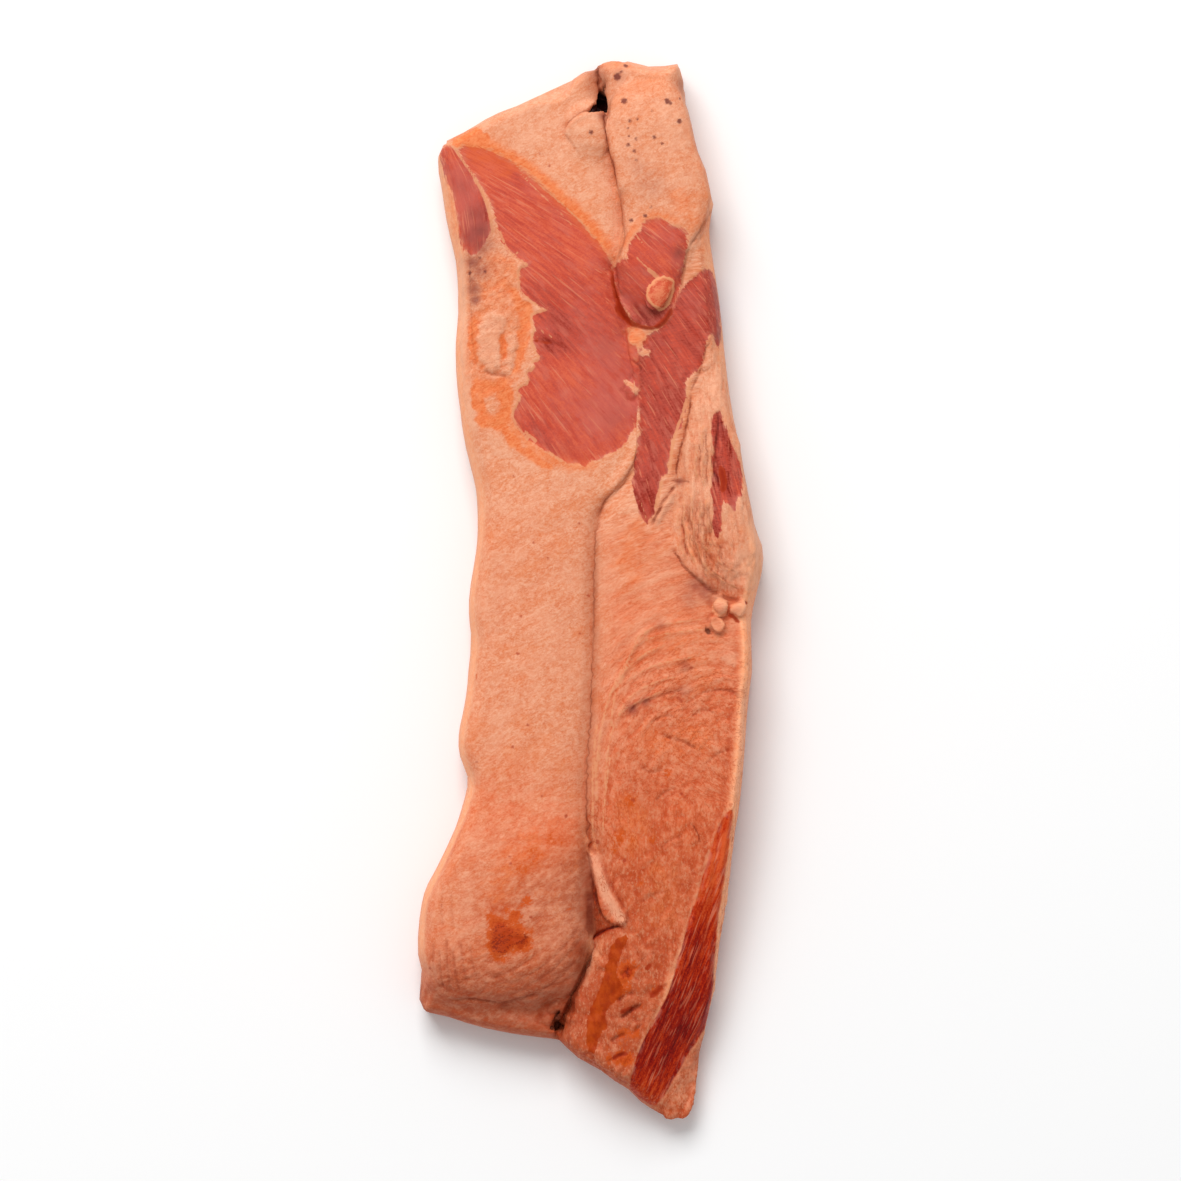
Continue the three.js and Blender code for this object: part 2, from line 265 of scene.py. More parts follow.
# red lean: outline in picture pixels, fibre direction in degrees below the +X axis at its top and bottom;
# pink spots are painted sheen
leanPatches = {
    "shoulder": {
        "fan": (290, 63), "tone": 0.16, "streak": 0.5,
        "outline": [
            (456, 146), (485, 147), (519, 166), (557, 199), (596, 238), (611, 261), (613, 271),
            (617, 285), (632, 325), (638, 350), (642, 370), (640, 415), (632, 432), (624, 446),
            (612, 453), (598, 459), (589, 462), (586, 467), (578, 463), (568, 463), (554, 455),
            (529, 441), (520, 433), (513, 419), (513, 412), (522, 398), (516, 388), (531, 382),
            (525, 371), (537, 368), (532, 361), (542, 359), (535, 350), (532, 338), (536, 329),
            (532, 321), (533, 313), (549, 310), (538, 307), (526, 297), (518, 290), (520, 281),
            (518, 268), (531, 265), (519, 260), (504, 249), (499, 234), (495, 216), (489, 199),
            (477, 179), (465, 163),
        ],
        # dark spots deepen the tone; the two at (548, 345) and (561, 350) are painted shade in the muscle's
        # notch
        "dark": [(555, 318, 24, 0.32), (585, 338, 24, 0.22), (535, 430, 30, 0.16), (600, 300, 20, 0.1),
                 (535, 285, 16, 0.22), (480, 165, 24, -0.12), (550, 395, 22, -0.04),
                 (575, 372, 20, -0.08), (548, 345, 9, 0.4), (561, 350, 8, 0.25), (634, 375, 10, 0.2),
                 (634, 420, 12, 0.15)],
        "pinkSheen": [(606, 350, 30, 0.8), (600, 420, 30, 0.8), (618, 395, 24, 0.8), (580, 300, 22, 0.5),
                 (560, 400, 24, 0.4), (596, 262, 16, 0.5), (560, 215, 18, 0.5), (532, 182, 14, 0.6),
                 (638, 400, 16, 0.6), (525, 270, 12, 0.5), (545, 330, 14, 0.5)],
    },
    "edgeStrip": {
        "fibre": (66, 84), "tone": 0.2, "streak": 0.5,
        "outline": [
            (446, 143), (440, 150), (441, 164), (444, 176), (450, 190), (455, 204), (459, 222),
            (459, 236), (462, 248), (470, 257), (478, 254), (486, 242), (491, 230), (490, 216),
            (486, 201), (476, 181), (465, 164), (454, 148),
        ],
        "dark": [(452, 175, 18, 0.06), (474, 235, 14, 0.3), (470, 190, 10, 0.2), (479, 214, 13, 0.35)],
        "pinkSheen": [(455, 176, 18, 0.9), (464, 196, 16, 1.0), (470, 212, 14, 1.0), (477, 232, 12, 0.9)],
    },
    "flapLean": {
        "fibre": (40, 48), "tone": 0.23, "streak": 0.5,
        "outline": [
            (642, 224), (649, 220), (660, 219), (666, 222), (671, 227), (680, 227), (686, 233),
            (688, 243), (686, 254), (684, 271), (680, 288), (675, 302), (670, 315), (662, 324),
            (654, 328), (644, 327), (635, 322), (628, 312), (622, 301), (617, 289), (615, 277),
            (611, 272), (618, 261), (625, 259), (629, 261), (627, 251), (629, 243), (635, 237),
            (637, 233), (643, 229),
        ],
        "dark": [(636, 314, 12, 0.34), (652, 320, 12, 0.34), (666, 316, 8, 0.3), (622, 285, 12, 0.15)],
        "pinkSheen": [(664, 240, 18, 0.6), (640, 280, 18, 0.5), (680, 262, 10, 0.8), (625, 300, 8, 0.9),
                 (644, 308, 8, 0.4)],
    },
    "middleLean": {
        "fibre": (52, 68), "tone": 0.42, "streak": 0.5,
        "outline": [
            (700, 271), (712, 268), (718, 289), (721, 315), (721, 340), (717, 350), (713, 332),
            (706, 341), (705, 353), (701, 368), (693, 374), (686, 380), (685, 390), (688, 402),
            (682, 418), (683, 426), (677, 432), (672, 437), (671, 448), (668, 463), (669, 473),
            (659, 478), (661, 489), (656, 500), (655, 511), (651, 519), (647, 525), (640, 515),
            (635, 502), (634, 491), (632, 481), (634, 470), (634, 460), (638, 449), (637, 440),
            (643, 433), (640, 421), (641, 414), (637, 394), (639, 380), (636, 366), (640, 351),
            (644, 341), (651, 332), (660, 328), (669, 319), (674, 305), (679, 293), (688, 281),
        ],
        "dark": [(648, 498, 24, 0.26), (708, 330, 24, 0.1), (672, 405, 24, 0.12), (652, 348, 14, 0.18)],
        "pinkSheen": [(690, 300, 24, 0.5), (660, 345, 16, 0.4), (650, 470, 18, 0.3)],
    },
    "slit": {
        "fibre": (80, 74), "tone": 0.42, "streak": 0.8,
        "outline": [
            (714, 411), (722, 413), (725, 426), (732, 444), (739, 462), (743, 481), (742, 492),
            (737, 499), (736, 513), (728, 505), (721, 499), (722, 524), (718, 539), (712, 535),
            (713, 513), (711, 500), (710, 492), (712, 471), (713, 446), (709, 426),
        ],
        "dark": [(722, 478, 12, 0.42), (718, 425, 10, 0.25)],
        "pinkSheen": [(735, 505, 10, 0.9), (724, 430, 12, 0.4)],
    },
    "tailStrip": {
        "fibre": (108, 112), "tone": 0.47, "streak": 0.72, "warm": 1.0,
        "outline": [
            (730, 802), (717, 827), (707, 859), (697, 891), (687, 921), (679, 950), (669, 984),
            (654, 1019), (639, 1047), (628, 1086), (634, 1094), (654, 1109), (661, 1101), (674, 1081),
            (694, 1044), (702, 1034), (709, 1014), (711, 980), (714, 937), (716, 908), (724, 859),
            (729, 824),
        ],
        "dark": [(658, 1045, 50, 0.16), (690, 985, 50, 0.1), (722, 850, 56, -0.4), (646, 1088, 22, -0.2)],
        "pinkSheen": [],
    },
}

# bits of fat lying over the lean
fatBits = [
    [(624, 381), (628, 380), (631, 383), (635, 382), (637, 386), (640, 390), (638, 395), (633, 394),
     (630, 389), (626, 385)],
    [(638, 351), (645, 349), (651, 352), (647, 356), (640, 355)],
    [(626, 326), (638, 330), (645, 334), (643, 343), (636, 346), (630, 340)],
]

farOut = -50.0  # mm, outside every mark
lean = np.full(count, farOut)
leanTone = np.zeros(count)
leanPinkSheen = np.zeros(count)
leanStreak = np.zeros(count)
leanWarm = np.zeros(count)
leanGrain = np.zeros((count, 3))


def spotSum(spots):
    total = np.zeros(count)
    for px, py, size, amount in spots:
        total += amount * bell(distances(plan, px, py), size * picture["mmPerPixel"])
    return total


# a base and steps down the picture: from row, to row, amount
def rowSum(base, steps):
    return base + sum(amount * ease(picY, low, high) for low, high, amount in steps)


def fibreGrain(patch, outline):
    if "fan" in patch:
        offset = offsets(plan, *patch["fan"])
        radius = distances(outline.mean(axis=0), *patch["fan"])
        along = distances(plan, *patch["fan"])
        across = np.arctan2(offset[:, 1], offset[:, 0]) * radius
    else:
        top, bottom = outline[:, 1].max(), outline[:, 1].min()
        slope = np.clip((top - plan[:, 1]) / (top - bottom), 0.0, 1.0)
        turn = np.radians(patch["fibre"][0] + (patch["fibre"][1] - patch["fibre"][0]) * slope)
        offset = plan - outline.mean(axis=0)
        along = offset[:, 0] * np.cos(turn) - offset[:, 1] * np.sin(turn)
        across = offset[:, 0] * np.sin(turn) + offset[:, 1] * np.cos(turn)
    return np.stack([along, across, level], axis=1)


for patch in leanPatches.values():
    outline = trace(patch["outline"])
    reach = patchReach(plan, roundOff(outline, closed=True))
    nearer = reach > lean
    lean[nearer] = reach[nearer]
    leanTone[nearer] = (patch["tone"] + spotSum(patch["dark"]))[nearer]
    leanPinkSheen[nearer] = spotSum(patch["pinkSheen"])[nearer]
    leanStreak[nearer] = patch["streak"]
    leanWarm[nearer] = patch.get("warm", 0.0)
    leanGrain[nearer] = fibreGrain(patch, outline)[nearer]
for outline in fatBits:
    lean = np.minimum(lean, -patchReach(plan, roundOff(trace(outline), closed=True)))

# the way the fat's fine wrinkles run on each part of the slab
fatFlow = {
    "leftTurn": 26.0, "lumpTurn": -84.0,
    "arcCentre": (735, 800), "arcRadius": 70.0,
    "flap": [
        (602, 40), (692, 40), (720, 190), (713, 206), (705, 222), (698, 235), (689, 248), (685, 268),
        (681, 290), (674, 308), (659, 329), (636, 326), (612, 274), (624, 239), (619, 190), (610, 156),
        (603, 121),
    ],
    "lump": [
        (712, 330), (730, 400), (748, 470), (775, 540), (775, 598), (742, 600), (716, 593), (695, 577),
        (677, 555), (670, 530), (676, 484), (679, 453), (689, 412), (700, 385), (708, 362),
    ],
}


def turnedPlan(degrees):
    turn = math.radians(degrees)
    along = plan[:, 0] * math.cos(turn) + plan[:, 1] * math.sin(turn)
    across = plan[:, 1] * math.cos(turn) - plan[:, 0] * math.sin(turn)
    return np.stack([along, across, level], axis=1)


onFlap = patchReach(plan, trace(fatFlow["flap"]))
onLump = patchReach(plan, trace(fatFlow["lump"]))
fromCentre = offsets(plan, *fatFlow["arcCentre"])
upward = np.maximum(fromCentre[:, 1], 0.0)
arcAcross = np.hypot(fromCentre[:, 0], upward)
arcAlong = np.arctan2(upward, -fromCentre[:, 0]) * fatFlow["arcRadius"] + np.minimum(fromCentre[:, 1], 0.0)
fatGrain = turnedPlan(fatFlow["leftTurn"])
onRight = (rightOfSeam > 0.0) & (onFlap < 0.0)
fatGrain[onRight] = np.stack([arcAlong, arcAcross, level], axis=1)[onRight]
lumpGrain = turnedPlan(fatFlow["lumpTurn"])
lumpShare = ease(onLump, -2.5, 2.5)

# creases: course in picture pixels, depth and half-width in mm, darkness of the painted shade in the crease
# 0 to 1
creases = [
    ([(597, 66), (598, 78), (601, 94)], 1.4, 0.9, 0.55),
    ([(604, 110), (603, 121), (608, 139), (610, 156), (614, 167), (616, 179),
      (619, 190)], 1.3, 0.6, 0.85),
    ([(619, 190), (621, 203), (621, 217), (623, 229), (624, 239), (617, 262)], 0.8, 0.6, 0.4),
    ([(604, 110), (590, 111), (582, 112), (570, 120), (564, 130)], 0.3, 0.5, 0.5),
    ([(611, 268), (614, 280), (617, 293), (622, 306), (630, 319), (640, 326)], 0.9, 1.1, 0.2),
    ([(636, 325), (645, 329), (655, 329), (662, 325), (668, 317), (672, 308)], 1.0, 0.9, 0.3),
    ([(713, 206), (705, 222), (698, 235), (689, 248)], 0.8, 0.6, 0.4),
    ([(689, 248), (685, 268), (681, 290)], 1.0, 0.7, 0.3),
    ([(712, 338), (706, 347), (703, 361), (699, 374), (690, 392)], 0.9, 0.6, 0.55),
    ([(711, 367), (705, 371), (698, 375)], 0.6, 0.5, 0.3),
    ([(690, 392), (690, 404), (689, 412), (685, 433), (679, 453), (676, 470), (677, 481)], 0.9, 0.6, 0.7),
    ([(676, 484), (664, 499), (657, 514), (650, 527)], 1.0, 0.8, 0.75),
    ([(670, 479), (677, 482), (684, 480), (690, 483)], 0.3, 0.5, 0.4),
    ([(671, 548), (677, 555), (684, 567), (695, 577), (707, 587)], 1.2, 0.7, 0.5),
    ([(700, 582), (710, 590), (722, 597), (742, 600)], 1.4, 1.1, 0.3),
    ([(638, 448), (634, 462), (625, 475), (612, 490), (604, 502), (598, 520)], 0.5, 0.6, 0.35),
    ([(598, 520), (594, 550), (593, 590), (595, 640)], 0.4, 0.9, 0.42),
    ([(595, 640), (592, 690), (590, 740), (587, 800), (588, 840)], 0.4, 1.0, 0.42),
    ([(588, 842), (591, 866), (595, 890), (600, 910), (606, 919)], 0.9, 1.0, 0.6),
    ([(591, 938), (598, 933), (606, 928), (614, 926), (621, 923)], 1.6, 0.7, 0.95),
    ([(604, 862), (607, 880), (614, 893), (622, 903), (625, 912)], 0.7, 0.7, 0.2),
    ([(591, 942), (585, 970), (577, 1000), (566, 1015)], 0.2, 2.2, 0.6),
    ([(590, 888), (590, 905), (588, 922), (590, 938)], 0.1, 2.0, 0.5),
    ([(447, 1000), (470, 998), (492, 1001), (507, 1003), (526, 996), (545, 993)], 0.9, 0.8, 0.3),
    ([(447, 935), (447, 955), (448, 974), (452, 992)], 0.8, 0.7, 0.22),
    ([(453, 948), (455, 970), (460, 992)], 0.75, 0.7, 0.22),
    ([(461, 940), (463, 962), (468, 987)], 0.75, 0.7, 0.18),
    ([(440, 948), (440, 970), (444, 990)], 0.75, 0.7, 0.2),
    ([(434, 940), (433, 962), (436, 986)], 0.6, 0.7, 0.18),
    ([(470, 944), (473, 964), (479, 982)], 0.5, 0.7, 0.14),
    ([(443, 880), (442, 905), (443, 928)], 0.3, 0.7, 0.12),
    ([(452, 890), (452, 912), (454, 930)], 0.3, 0.7, 0.1),
    ([(660, 732), (672, 738), (683, 740), (697, 748)], 0.9, 0.9, 0.4),
    ([(700, 692), (716, 689), (735, 690), (738, 700)], 0.7, 0.7, 0.4),
    ([(484, 370), (491, 375), (499, 374), (508, 377)], 0.8, 0.9, 0.35),
    ([(534, 340), (545, 341), (556, 344), (566, 349)], 0.6, 0.9, 0.12),
    ([(690, 821), (697, 830), (700, 842)], 0.4, 0.5, 0.5),
    ([(505, 986), (535, 971), (562, 949), (580, 925)], 0.3, 0.6, 0.16),
    ([(520, 990), (546, 975), (570, 952), (584, 932)], 0.3, 0.6, 0.18),
    ([(536, 994), (558, 979), (578, 958)], 0.35, 0.6, 0.2),
    ([(490, 978), (515, 968), (540, 951)], 0.25, 0.6, 0.12),
    ([(655, 800), (662, 792), (676, 786)], 0.5, 0.7, 0.3),
    ([(640, 765), (650, 772), (664, 768)], 0.5, 0.7, 0.25),
    ([(690, 716), (702, 708), (716, 712)], 0.5, 0.7, 0.3),
    ([(650, 722), (664, 714), (676, 716)], 0.5, 0.7, 0.3),
    ([(706, 762), (718, 752), (730, 748)], 0.5, 0.7, 0.25),
    ([(660, 848), (670, 838), (684, 834)], 0.4, 0.7, 0.25),
    ([(640, 902), (652, 893), (668, 890)], 0.4, 0.7, 0.25),
    ([(618, 1000), (625, 994), (634, 991)], 1.0, 1.0, 0.35),
    ([(619, 1018), (628, 1012), (634, 1007), (641, 1004)], 1.6, 1.1, 0.7),
    ([(610, 1041), (617, 1035), (626, 1033)], 1.0, 0.9, 0.5),
    ([(640, 960), (648, 953), (656, 951)], 0.5, 0.8, 0.2),
    ([(620, 974), (630, 967), (638, 966)], 0.8, 0.8, 0.35),
    ([(630, 1033), (637, 1028), (642, 1022)], 0.8, 0.8, 0.35),
    ([(608, 1061), (616, 1055), (626, 1052)], 0.9, 0.8, 0.45),
    ([(628, 712), (638, 703), (651, 698), (668, 692), (684, 688)], 0.6, 0.8, 0.4),
    ([(634, 360), (640, 365), (641, 372)], 0.8, 0.6, 0.5),
    ([(700, 545), (712, 560), (722, 574)], 0.6, 0.7, 0.35),
    ([(716, 562), (728, 567), (742, 566)], 0.6, 0.7, 0.3),
    ([(685, 500), (690, 525), (697, 548), (702, 568)], 0.7, 0.7, 0.35),
    ([(697, 490), (700, 515), (707, 540)], 0.6, 0.7, 0.25),
    ([(718, 410), (717, 430), (714, 455), (713, 480)], 0.8, 0.7, 0.6),
    ([(471, 300), (472, 338), (475, 358), (481, 374)], 0.5, 0.5, 0.16),
    ([(469, 250), (470, 274), (469, 300)], 0.5, 0.6, 0.2),
]
# raised ridges and filled valleys: course in pixels, height and half-width in mm
ridgeLines = [
    ([(607, 118), (613, 142), (618, 168), (625, 195)], 0.7, 2.0),
    ([(595, 942), (592, 962), (586, 988), (576, 1012)], 0.8, 2.4),
    ([(673, 490), (665, 506), (656, 522)], 1.3, 2.0),
    ([(694, 396), (692, 420), (687, 450), (683, 474)], 0.8, 1.8),
    ([(698, 400), (697, 430), (694, 460), (692, 490)], 0.5, 1.3),
    ([(690, 510), (694, 535), (702, 562), (712, 585)], 0.7, 1.4),
    ([(680, 500), (684, 528), (692, 556)], 0.5, 1.2),
    ([(708, 629), (711, 620), (719, 614), (727, 608)], 1.3, 1.0),
    ([(598, 524), (594, 550), (593, 590), (595, 640), (592, 690), (590, 740), (587, 800),
      (588, 836)], 1.8, 2.6),
    ([(597, 524), (592, 560), (591, 640), (588, 740), (585, 800), (586, 836)], 1.0, 5.5),
    ([(592, 896), (594, 915), (594, 935), (589, 958), (582, 985), (570, 1008)], 1.6, 5.0),
    ([(597, 58), (598, 70), (600, 82)], 2.2, 2.4),
    ([(598, 114), (584, 116), (573, 123), (567, 132), (569, 138)], 0.5, 1.0),
    ([(613, 270), (616, 288), (622, 304), (630, 317), (640, 325)], 2.4, 2.2),
    ([(640, 326), (654, 328), (664, 322), (671, 311)], 1.4, 1.8),
    ([(628, 334), (633, 350), (636, 372), (637, 400), (638, 430), (635, 455), (622, 478),
      (604, 502)], 2.2, 3.0),
]
# wavy folds on the lump, and pale lines sweeping away from the seam: courses in pixels
lumpFolds = [
    [(683, 500), (686, 510), (682, 520), (687, 530), (684, 540), (690, 550), (694, 561)],
    [(690, 492), (693, 504), (690, 516), (695, 526), (692, 536), (698, 546), (700, 556), (708, 567)],
    [(698, 496), (701, 508), (698, 520), (703, 530), (701, 540), (707, 551)],
    [(706, 500), (704, 512), (708, 524), (705, 535), (711, 545)],
    [(712, 540), (718, 548), (716, 558), (724, 566), (733, 570)],
    [(703, 562), (710, 570), (718, 574), (724, 582), (735, 587)],
    [(679, 508), (677, 522), (681, 534), (680, 546), (686, 557)],
    [(694, 440), (697, 452), (694, 464), (697, 478)],
    [(703, 425), (701, 440), (704, 455), (701, 470), (704, 486)],
]
flowLines = [
    [(597, 800), (597, 770), (600, 740), (603, 722), (609, 700), (615, 684), (622, 668), (630, 655),
     (640, 640), (650, 628)],
    [(604, 790), (606, 768), (608, 750), (611, 734), (616, 720), (622, 710), (632, 704), (644, 699),
     (661, 690)],
    [(611, 725), (613, 705), (616, 690), (621, 676), (628, 666), (638, 658), (650, 650), (664, 645)],
    [(619, 690), (624, 672), (630, 655), (637, 637), (646, 630), (656, 625), (680, 621), (702, 619)],
    [(600, 760), (601, 735), (605, 712), (610, 694), (616, 680)],
    [(645, 640), (660, 634), (680, 631), (703, 629)],
    [(640, 672), (655, 664), (672, 660), (690, 657)],
    [(593, 835), (594, 810), (594, 780), (596, 750), (598, 725)],
    [(603, 830), (604, 805), (607, 780), (610, 757)],
    [(618, 716), (626, 700), (640, 688), (658, 680), (676, 676)],
]
ridgeLines += [(course, 1.2, 1.0) for course in lumpFolds] + [(course, 0.5, 1.2) for course in flowLines]
# beside each lump fold, a little to the lower right, a dark line painted as its shadow
creases += [([(px + 4, py + 2) for px, py in course], 0.6, 0.5, 0.42) for course in lumpFolds]
# steps: the line of an edge, a point on its raised side, height and how far the rise fades out, in mm
edgeSteps = [
    ([(603, 112), (605, 130), (611, 156), (617, 180), (620, 196)], (640, 150), 0.9, 5.0),
    ([(676, 552), (684, 568), (697, 579), (716, 594)], (712, 560), 1.2, 6.0),
    ([(470, 250), (470, 300), (473, 345), (480, 375)], (490, 320), 0.5, 5.0),
]
# rough lumps, the small ones ringed by a groove and by painted shade: centre in pixels, half-size and
# height in mm
smallBead = 4.5
beads = [
    (719, 603, 4.4, 2.5), (738, 608, 3.8, 2.2), (717, 623, 3.6, 1.1), (556, 1008, 3.0, 0.8),
    (546, 1019, 3.6, 1.0), (571, 1016, 3.4, 1.0), (720, 575, 8.0, 0.9), (742, 578, 9.0, 0.9),
    (632, 388, 4.0, 1.2), (636, 338, 5.0, 0.8),
]
# open hollows: outline in pixels, depth in mm, darkness of the painted shadow inside
hollows = [
    ([(589, 113), (597, 102), (601, 93), (603, 84), (605, 101), (606, 112), (597, 111)], 7.0, 1.0),
    ([(551, 1029), (554, 1021), (556, 1014), (560, 1010), (563, 1015), (561, 1022), (563, 1028),
      (558, 1030)], 2.8, 0.62),
    ([(706, 627), (709, 629), (711, 633), (708, 634), (705, 631)], 1.6, 0.7),
]
# zones of fat: outline in pixels, how pale, how orange, rise in mm; later ones lie over earlier ones
fatZones = [
    ([(488, 246), (502, 252), (516, 266), (516, 288), (530, 306), (530, 340), (522, 372), (512, 392),
      (510, 424), (486, 432), (474, 410), (470, 370), (470, 316), (480, 296),
      (484, 270)], 0.0, 0.55, 0.0),
    ([(470, 380), (486, 378), (508, 382), (516, 392), (512, 408), (508, 420), (512, 432), (525, 444),
      (545, 458), (556, 466), (548, 470), (528, 462), (512, 446), (500, 432), (486, 428), (478, 425),
      (474, 410), (470, 396)], 0.0, 1.0, 0.0),
    ([(505, 283), (512, 288), (522, 298), (532, 307), (532, 316), (530, 328), (528, 345), (524, 360),
      (516, 374), (510, 372), (516, 350), (518, 338), (516, 330), (523, 325), (519, 316), (514, 299),
      (506, 290)], 0.0, 0.95, -0.4),
    ([(486, 290), (500, 283), (512, 299), (518, 316), (522, 325), (514, 331), (505, 328), (496, 316),
      (484, 312), (476, 312), (480, 302)], 0.1, 0.5, 0.6),
    ([(469, 316), (478, 318), (480, 334), (477, 348), (480, 362), (474, 362),
      (470, 346)], 0.0, 1.0, -0.2),
    ([(480, 318), (488, 312), (499, 313), (506, 320), (505, 334), (500, 346), (500, 360), (499, 370),
      (490, 373), (483, 366), (478, 346)], 0.75, 0.0, 1.0),
    ([(507, 330), (514, 334), (517, 344), (516, 356), (512, 368), (505, 374), (503, 362),
      (507, 348)], 0.6, 0.0, 0.7),
    ([(501, 338), (507, 334), (508, 348), (504, 361), (500, 357)], 0.0, 1.1, -0.4),
    ([(484, 398), (492, 395), (499, 402), (499, 410), (490, 413), (484, 406)], 0.3, 0.2, 0.3),
    ([(487, 434), (494, 428), (502, 436), (512, 450), (508, 458), (494, 456), (486, 446)], 0.6, 0.0, 0.2),
    ([(452, 140), (464, 129), (480, 128), (491, 139), (482, 149), (460, 149)], 0.0, 1.5, 0.0),
    ([(724, 650), (734, 648), (739, 655), (735, 664), (727, 666), (721, 660)], 0.7, 0.0, 0.5),
    ([(671, 492), (677, 486), (680, 490), (670, 506), (660, 522), (653, 524), (660, 508)], 0.9, 0.0, 0.5),
    ([(711, 598), (718, 593), (727, 597), (728, 606), (722, 613), (713, 611)], 0.6, 0.0, 0.0),
    ([(731, 604), (738, 600), (745, 605), (744, 613), (737, 616), (731, 612)], 0.7, 0.0, 0.0),
    ([(708, 630), (709, 620), (718, 613), (727, 609), (724, 616), (724, 628), (716, 632)], 0.5, 0.3, 0.3),
    ([(621, 324), (640, 326), (649, 336), (645, 347), (629, 347)], 0.0, 0.75, 0.0),
    # the last zone paints light on the lump's right slope, which faces away from the lamp
    ([(734, 545), (752, 540), (768, 560), (764, 585), (748, 592), (732, 580)], 0.7, 0.0, 0.0),
]
# flat flaps lying on top: outline in pixels, height in mm, picture rows of full height and of none
plates = [
    ([(606, 110), (597, 111), (583, 113), (571, 121), (565, 131), (567, 137), (572, 143), (577, 151),
      (586, 166), (598, 190), (616, 190), (612, 150)], 1.2, 116, 186),
    ([(590, 848), (596, 854), (603, 868), (611, 886), (620, 901), (627, 912), (627, 921), (619, 925),
      (609, 921), (602, 911), (597, 896), (593, 877), (590, 862)], 2.3, 880, 850),
]
# wet dark-red clefts: course in pixels, half-width in mm
wetLines = [
    ([(612, 270), (614, 284), (617, 296), (620, 306), (624, 315), (630, 322), (638, 327)], 1.7),
    ([(618, 304), (621, 311), (627, 319)], 2.2),
    ([(630, 321), (642, 328), (656, 328)], 0.9),
    ([(654, 328), (664, 322), (672, 309)], 1.4),
    ([(534, 341), (543, 342), (552, 344)], 0.6),
    ([(591, 938), (600, 931), (611, 927)], 1.1),
    ([(650, 996), (657, 989), (662, 984)], 1.4),
    ([(621, 1012), (627, 1008), (634, 1007)], 1.1),
    ([(612, 1058), (620, 1053), (628, 1052)], 1.1),
    ([(645, 968), (651, 963)], 1.0),
    ([(720, 466), (724, 480), (722, 492)], 1.6),
    ([(744, 601), (747, 604)], 0.7),
    ([(728, 614), (734, 617), (738, 622)], 0.8),
]

relief = np.zeros(count)
zonePale = np.zeros(count)
zoneAmber = np.zeros(count)
plateCover = np.zeros(count)
wet = np.full(count, farOut)
creaseGap = np.full(count, 9.0)
creaseWidth = np.ones(count)
creaseDark = np.zeros(count)
paintedCreaseShade = np.zeros(count)
beadGrooveAndShade = np.zeros(count)
hole = np.full(count, farOut)
holeShadow = np.zeros(count)
ragged = 1.0 + 0.4 * cloudNoise(np.column_stack([plan, level]) / 3.0, 11, 2)
sway = [cloudNoise(np.column_stack([plan / 3.4, level / 9.0]), seed, 2) for seed in (13, 17)]
warped = plan + 1.6 * np.column_stack(sway)
for outline, paleness, orange, rise in fatZones:
    reach = patchReach(warped, roundOff(trace(outline), closed=True))
    cover = ease(reach, -1.8, 1.4)
    zonePale += (paleness - zonePale) * cover
    zoneAmber += (orange - zoneAmber) * cover
    relief += rise * ease(reach, -1.4, 2.2) * shown
for outline, height, fullRow, goneRow in plates:
    reach = patchReach(plan, roundOff(trace(outline), closed=True))
    plateCover = np.maximum(plateCover, ease(reach, -0.4, 0.8))
    relief += height * ease(reach, -0.6, 0.6) * ease(picY, goneRow, fullRow) * shown
for course, halfWidth in wetLines:
    reach, station, _ = lineReach(plan, roundOff(trace(course)))
    thinned = np.sqrt(np.clip(8.0 * station * (1.0 - station), 0.05, 1.0))
    wet = np.maximum(wet, halfWidth * thinned - reach)
for course, depth, width, darkness in creases:
    reach, station, sideOf = lineReach(plan, roundOff(trace(course)))
    taper = tapered(station, 0.14, 0.14)
    relief -= depth * bell(reach, np.maximum(width, 0.9) * ragged) * taper * shown
    nearer = reach < np.abs(creaseGap)
    creaseGap[nearer] = (reach * sideOf)[nearer]
    creaseWidth[nearer] = width
    creaseDark[nearer] = (darkness * taper * (1.0 - ease(reach, 0.7 + width, 1.4 + width)))[nearer]
    # a wider halo of painted shade round each crease
    paintedCreaseShade = np.maximum(paintedCreaseShade, darkness * taper * bell(reach, 1.2 + 1.2 * width))
for course, height, width in ridgeLines:
    reach, station, _ = lineReach(plan, roundOff(trace(course)))
    relief += height * bell(reach, width) * tapered(station, 0.1, 0.1) * shown
for course, raised, height, reachMm in edgeSteps:
    line = roundOff(trace(course))
    reach, station, sideOf = lineReach(plan, line)
    sideOf = sideOf * lineReach(trace([raised]), line)[2]
    rise = height * ease(reach * sideOf, -0.6, 0.6) * np.exp(-reach / reachMm)
    relief += rise * tapered(station, 0.12, 0.2) * shown
for px, py, size, height in beads:
    gap = offsets(warped, px, py)
    apart = distances(warped, px, py) / size
    relief += height * ease(apart, 1.05, 0.45) * (0.8 + 0.9 * (ragged - 1.0)) * shown
    # small beads get a ring sunk into the relief and painted as shade, heavier on the lower left
    if size < smallBead:
        shadedSide = 0.5 - 0.5 * (gap[:, 0] + gap[:, 1]) / (size * np.maximum(apart, 0.3) * 1.42)
        beadGrooveAndShade = np.maximum(beadGrooveAndShade, bell(apart - 1.1, 0.25) * (0.3 + 0.7 * shadedSide))
relief -= 0.5 * beadGrooveAndShade * shown
paintedCreaseShade = np.maximum(paintedCreaseShade, 0.65 * beadGrooveAndShade)
for outline, depth, darkness in hollows:
    reach = patchReach(0.6 * plan + 0.4 * warped, trace(outline))
    relief -= depth * ease(reach + 0.3 * (ragged - 1.0), -1.0, 0.9) * shown
    nearer = reach > hole
    hole[nearer] = reach[nearer]
    holeShadow[nearer] = darkness

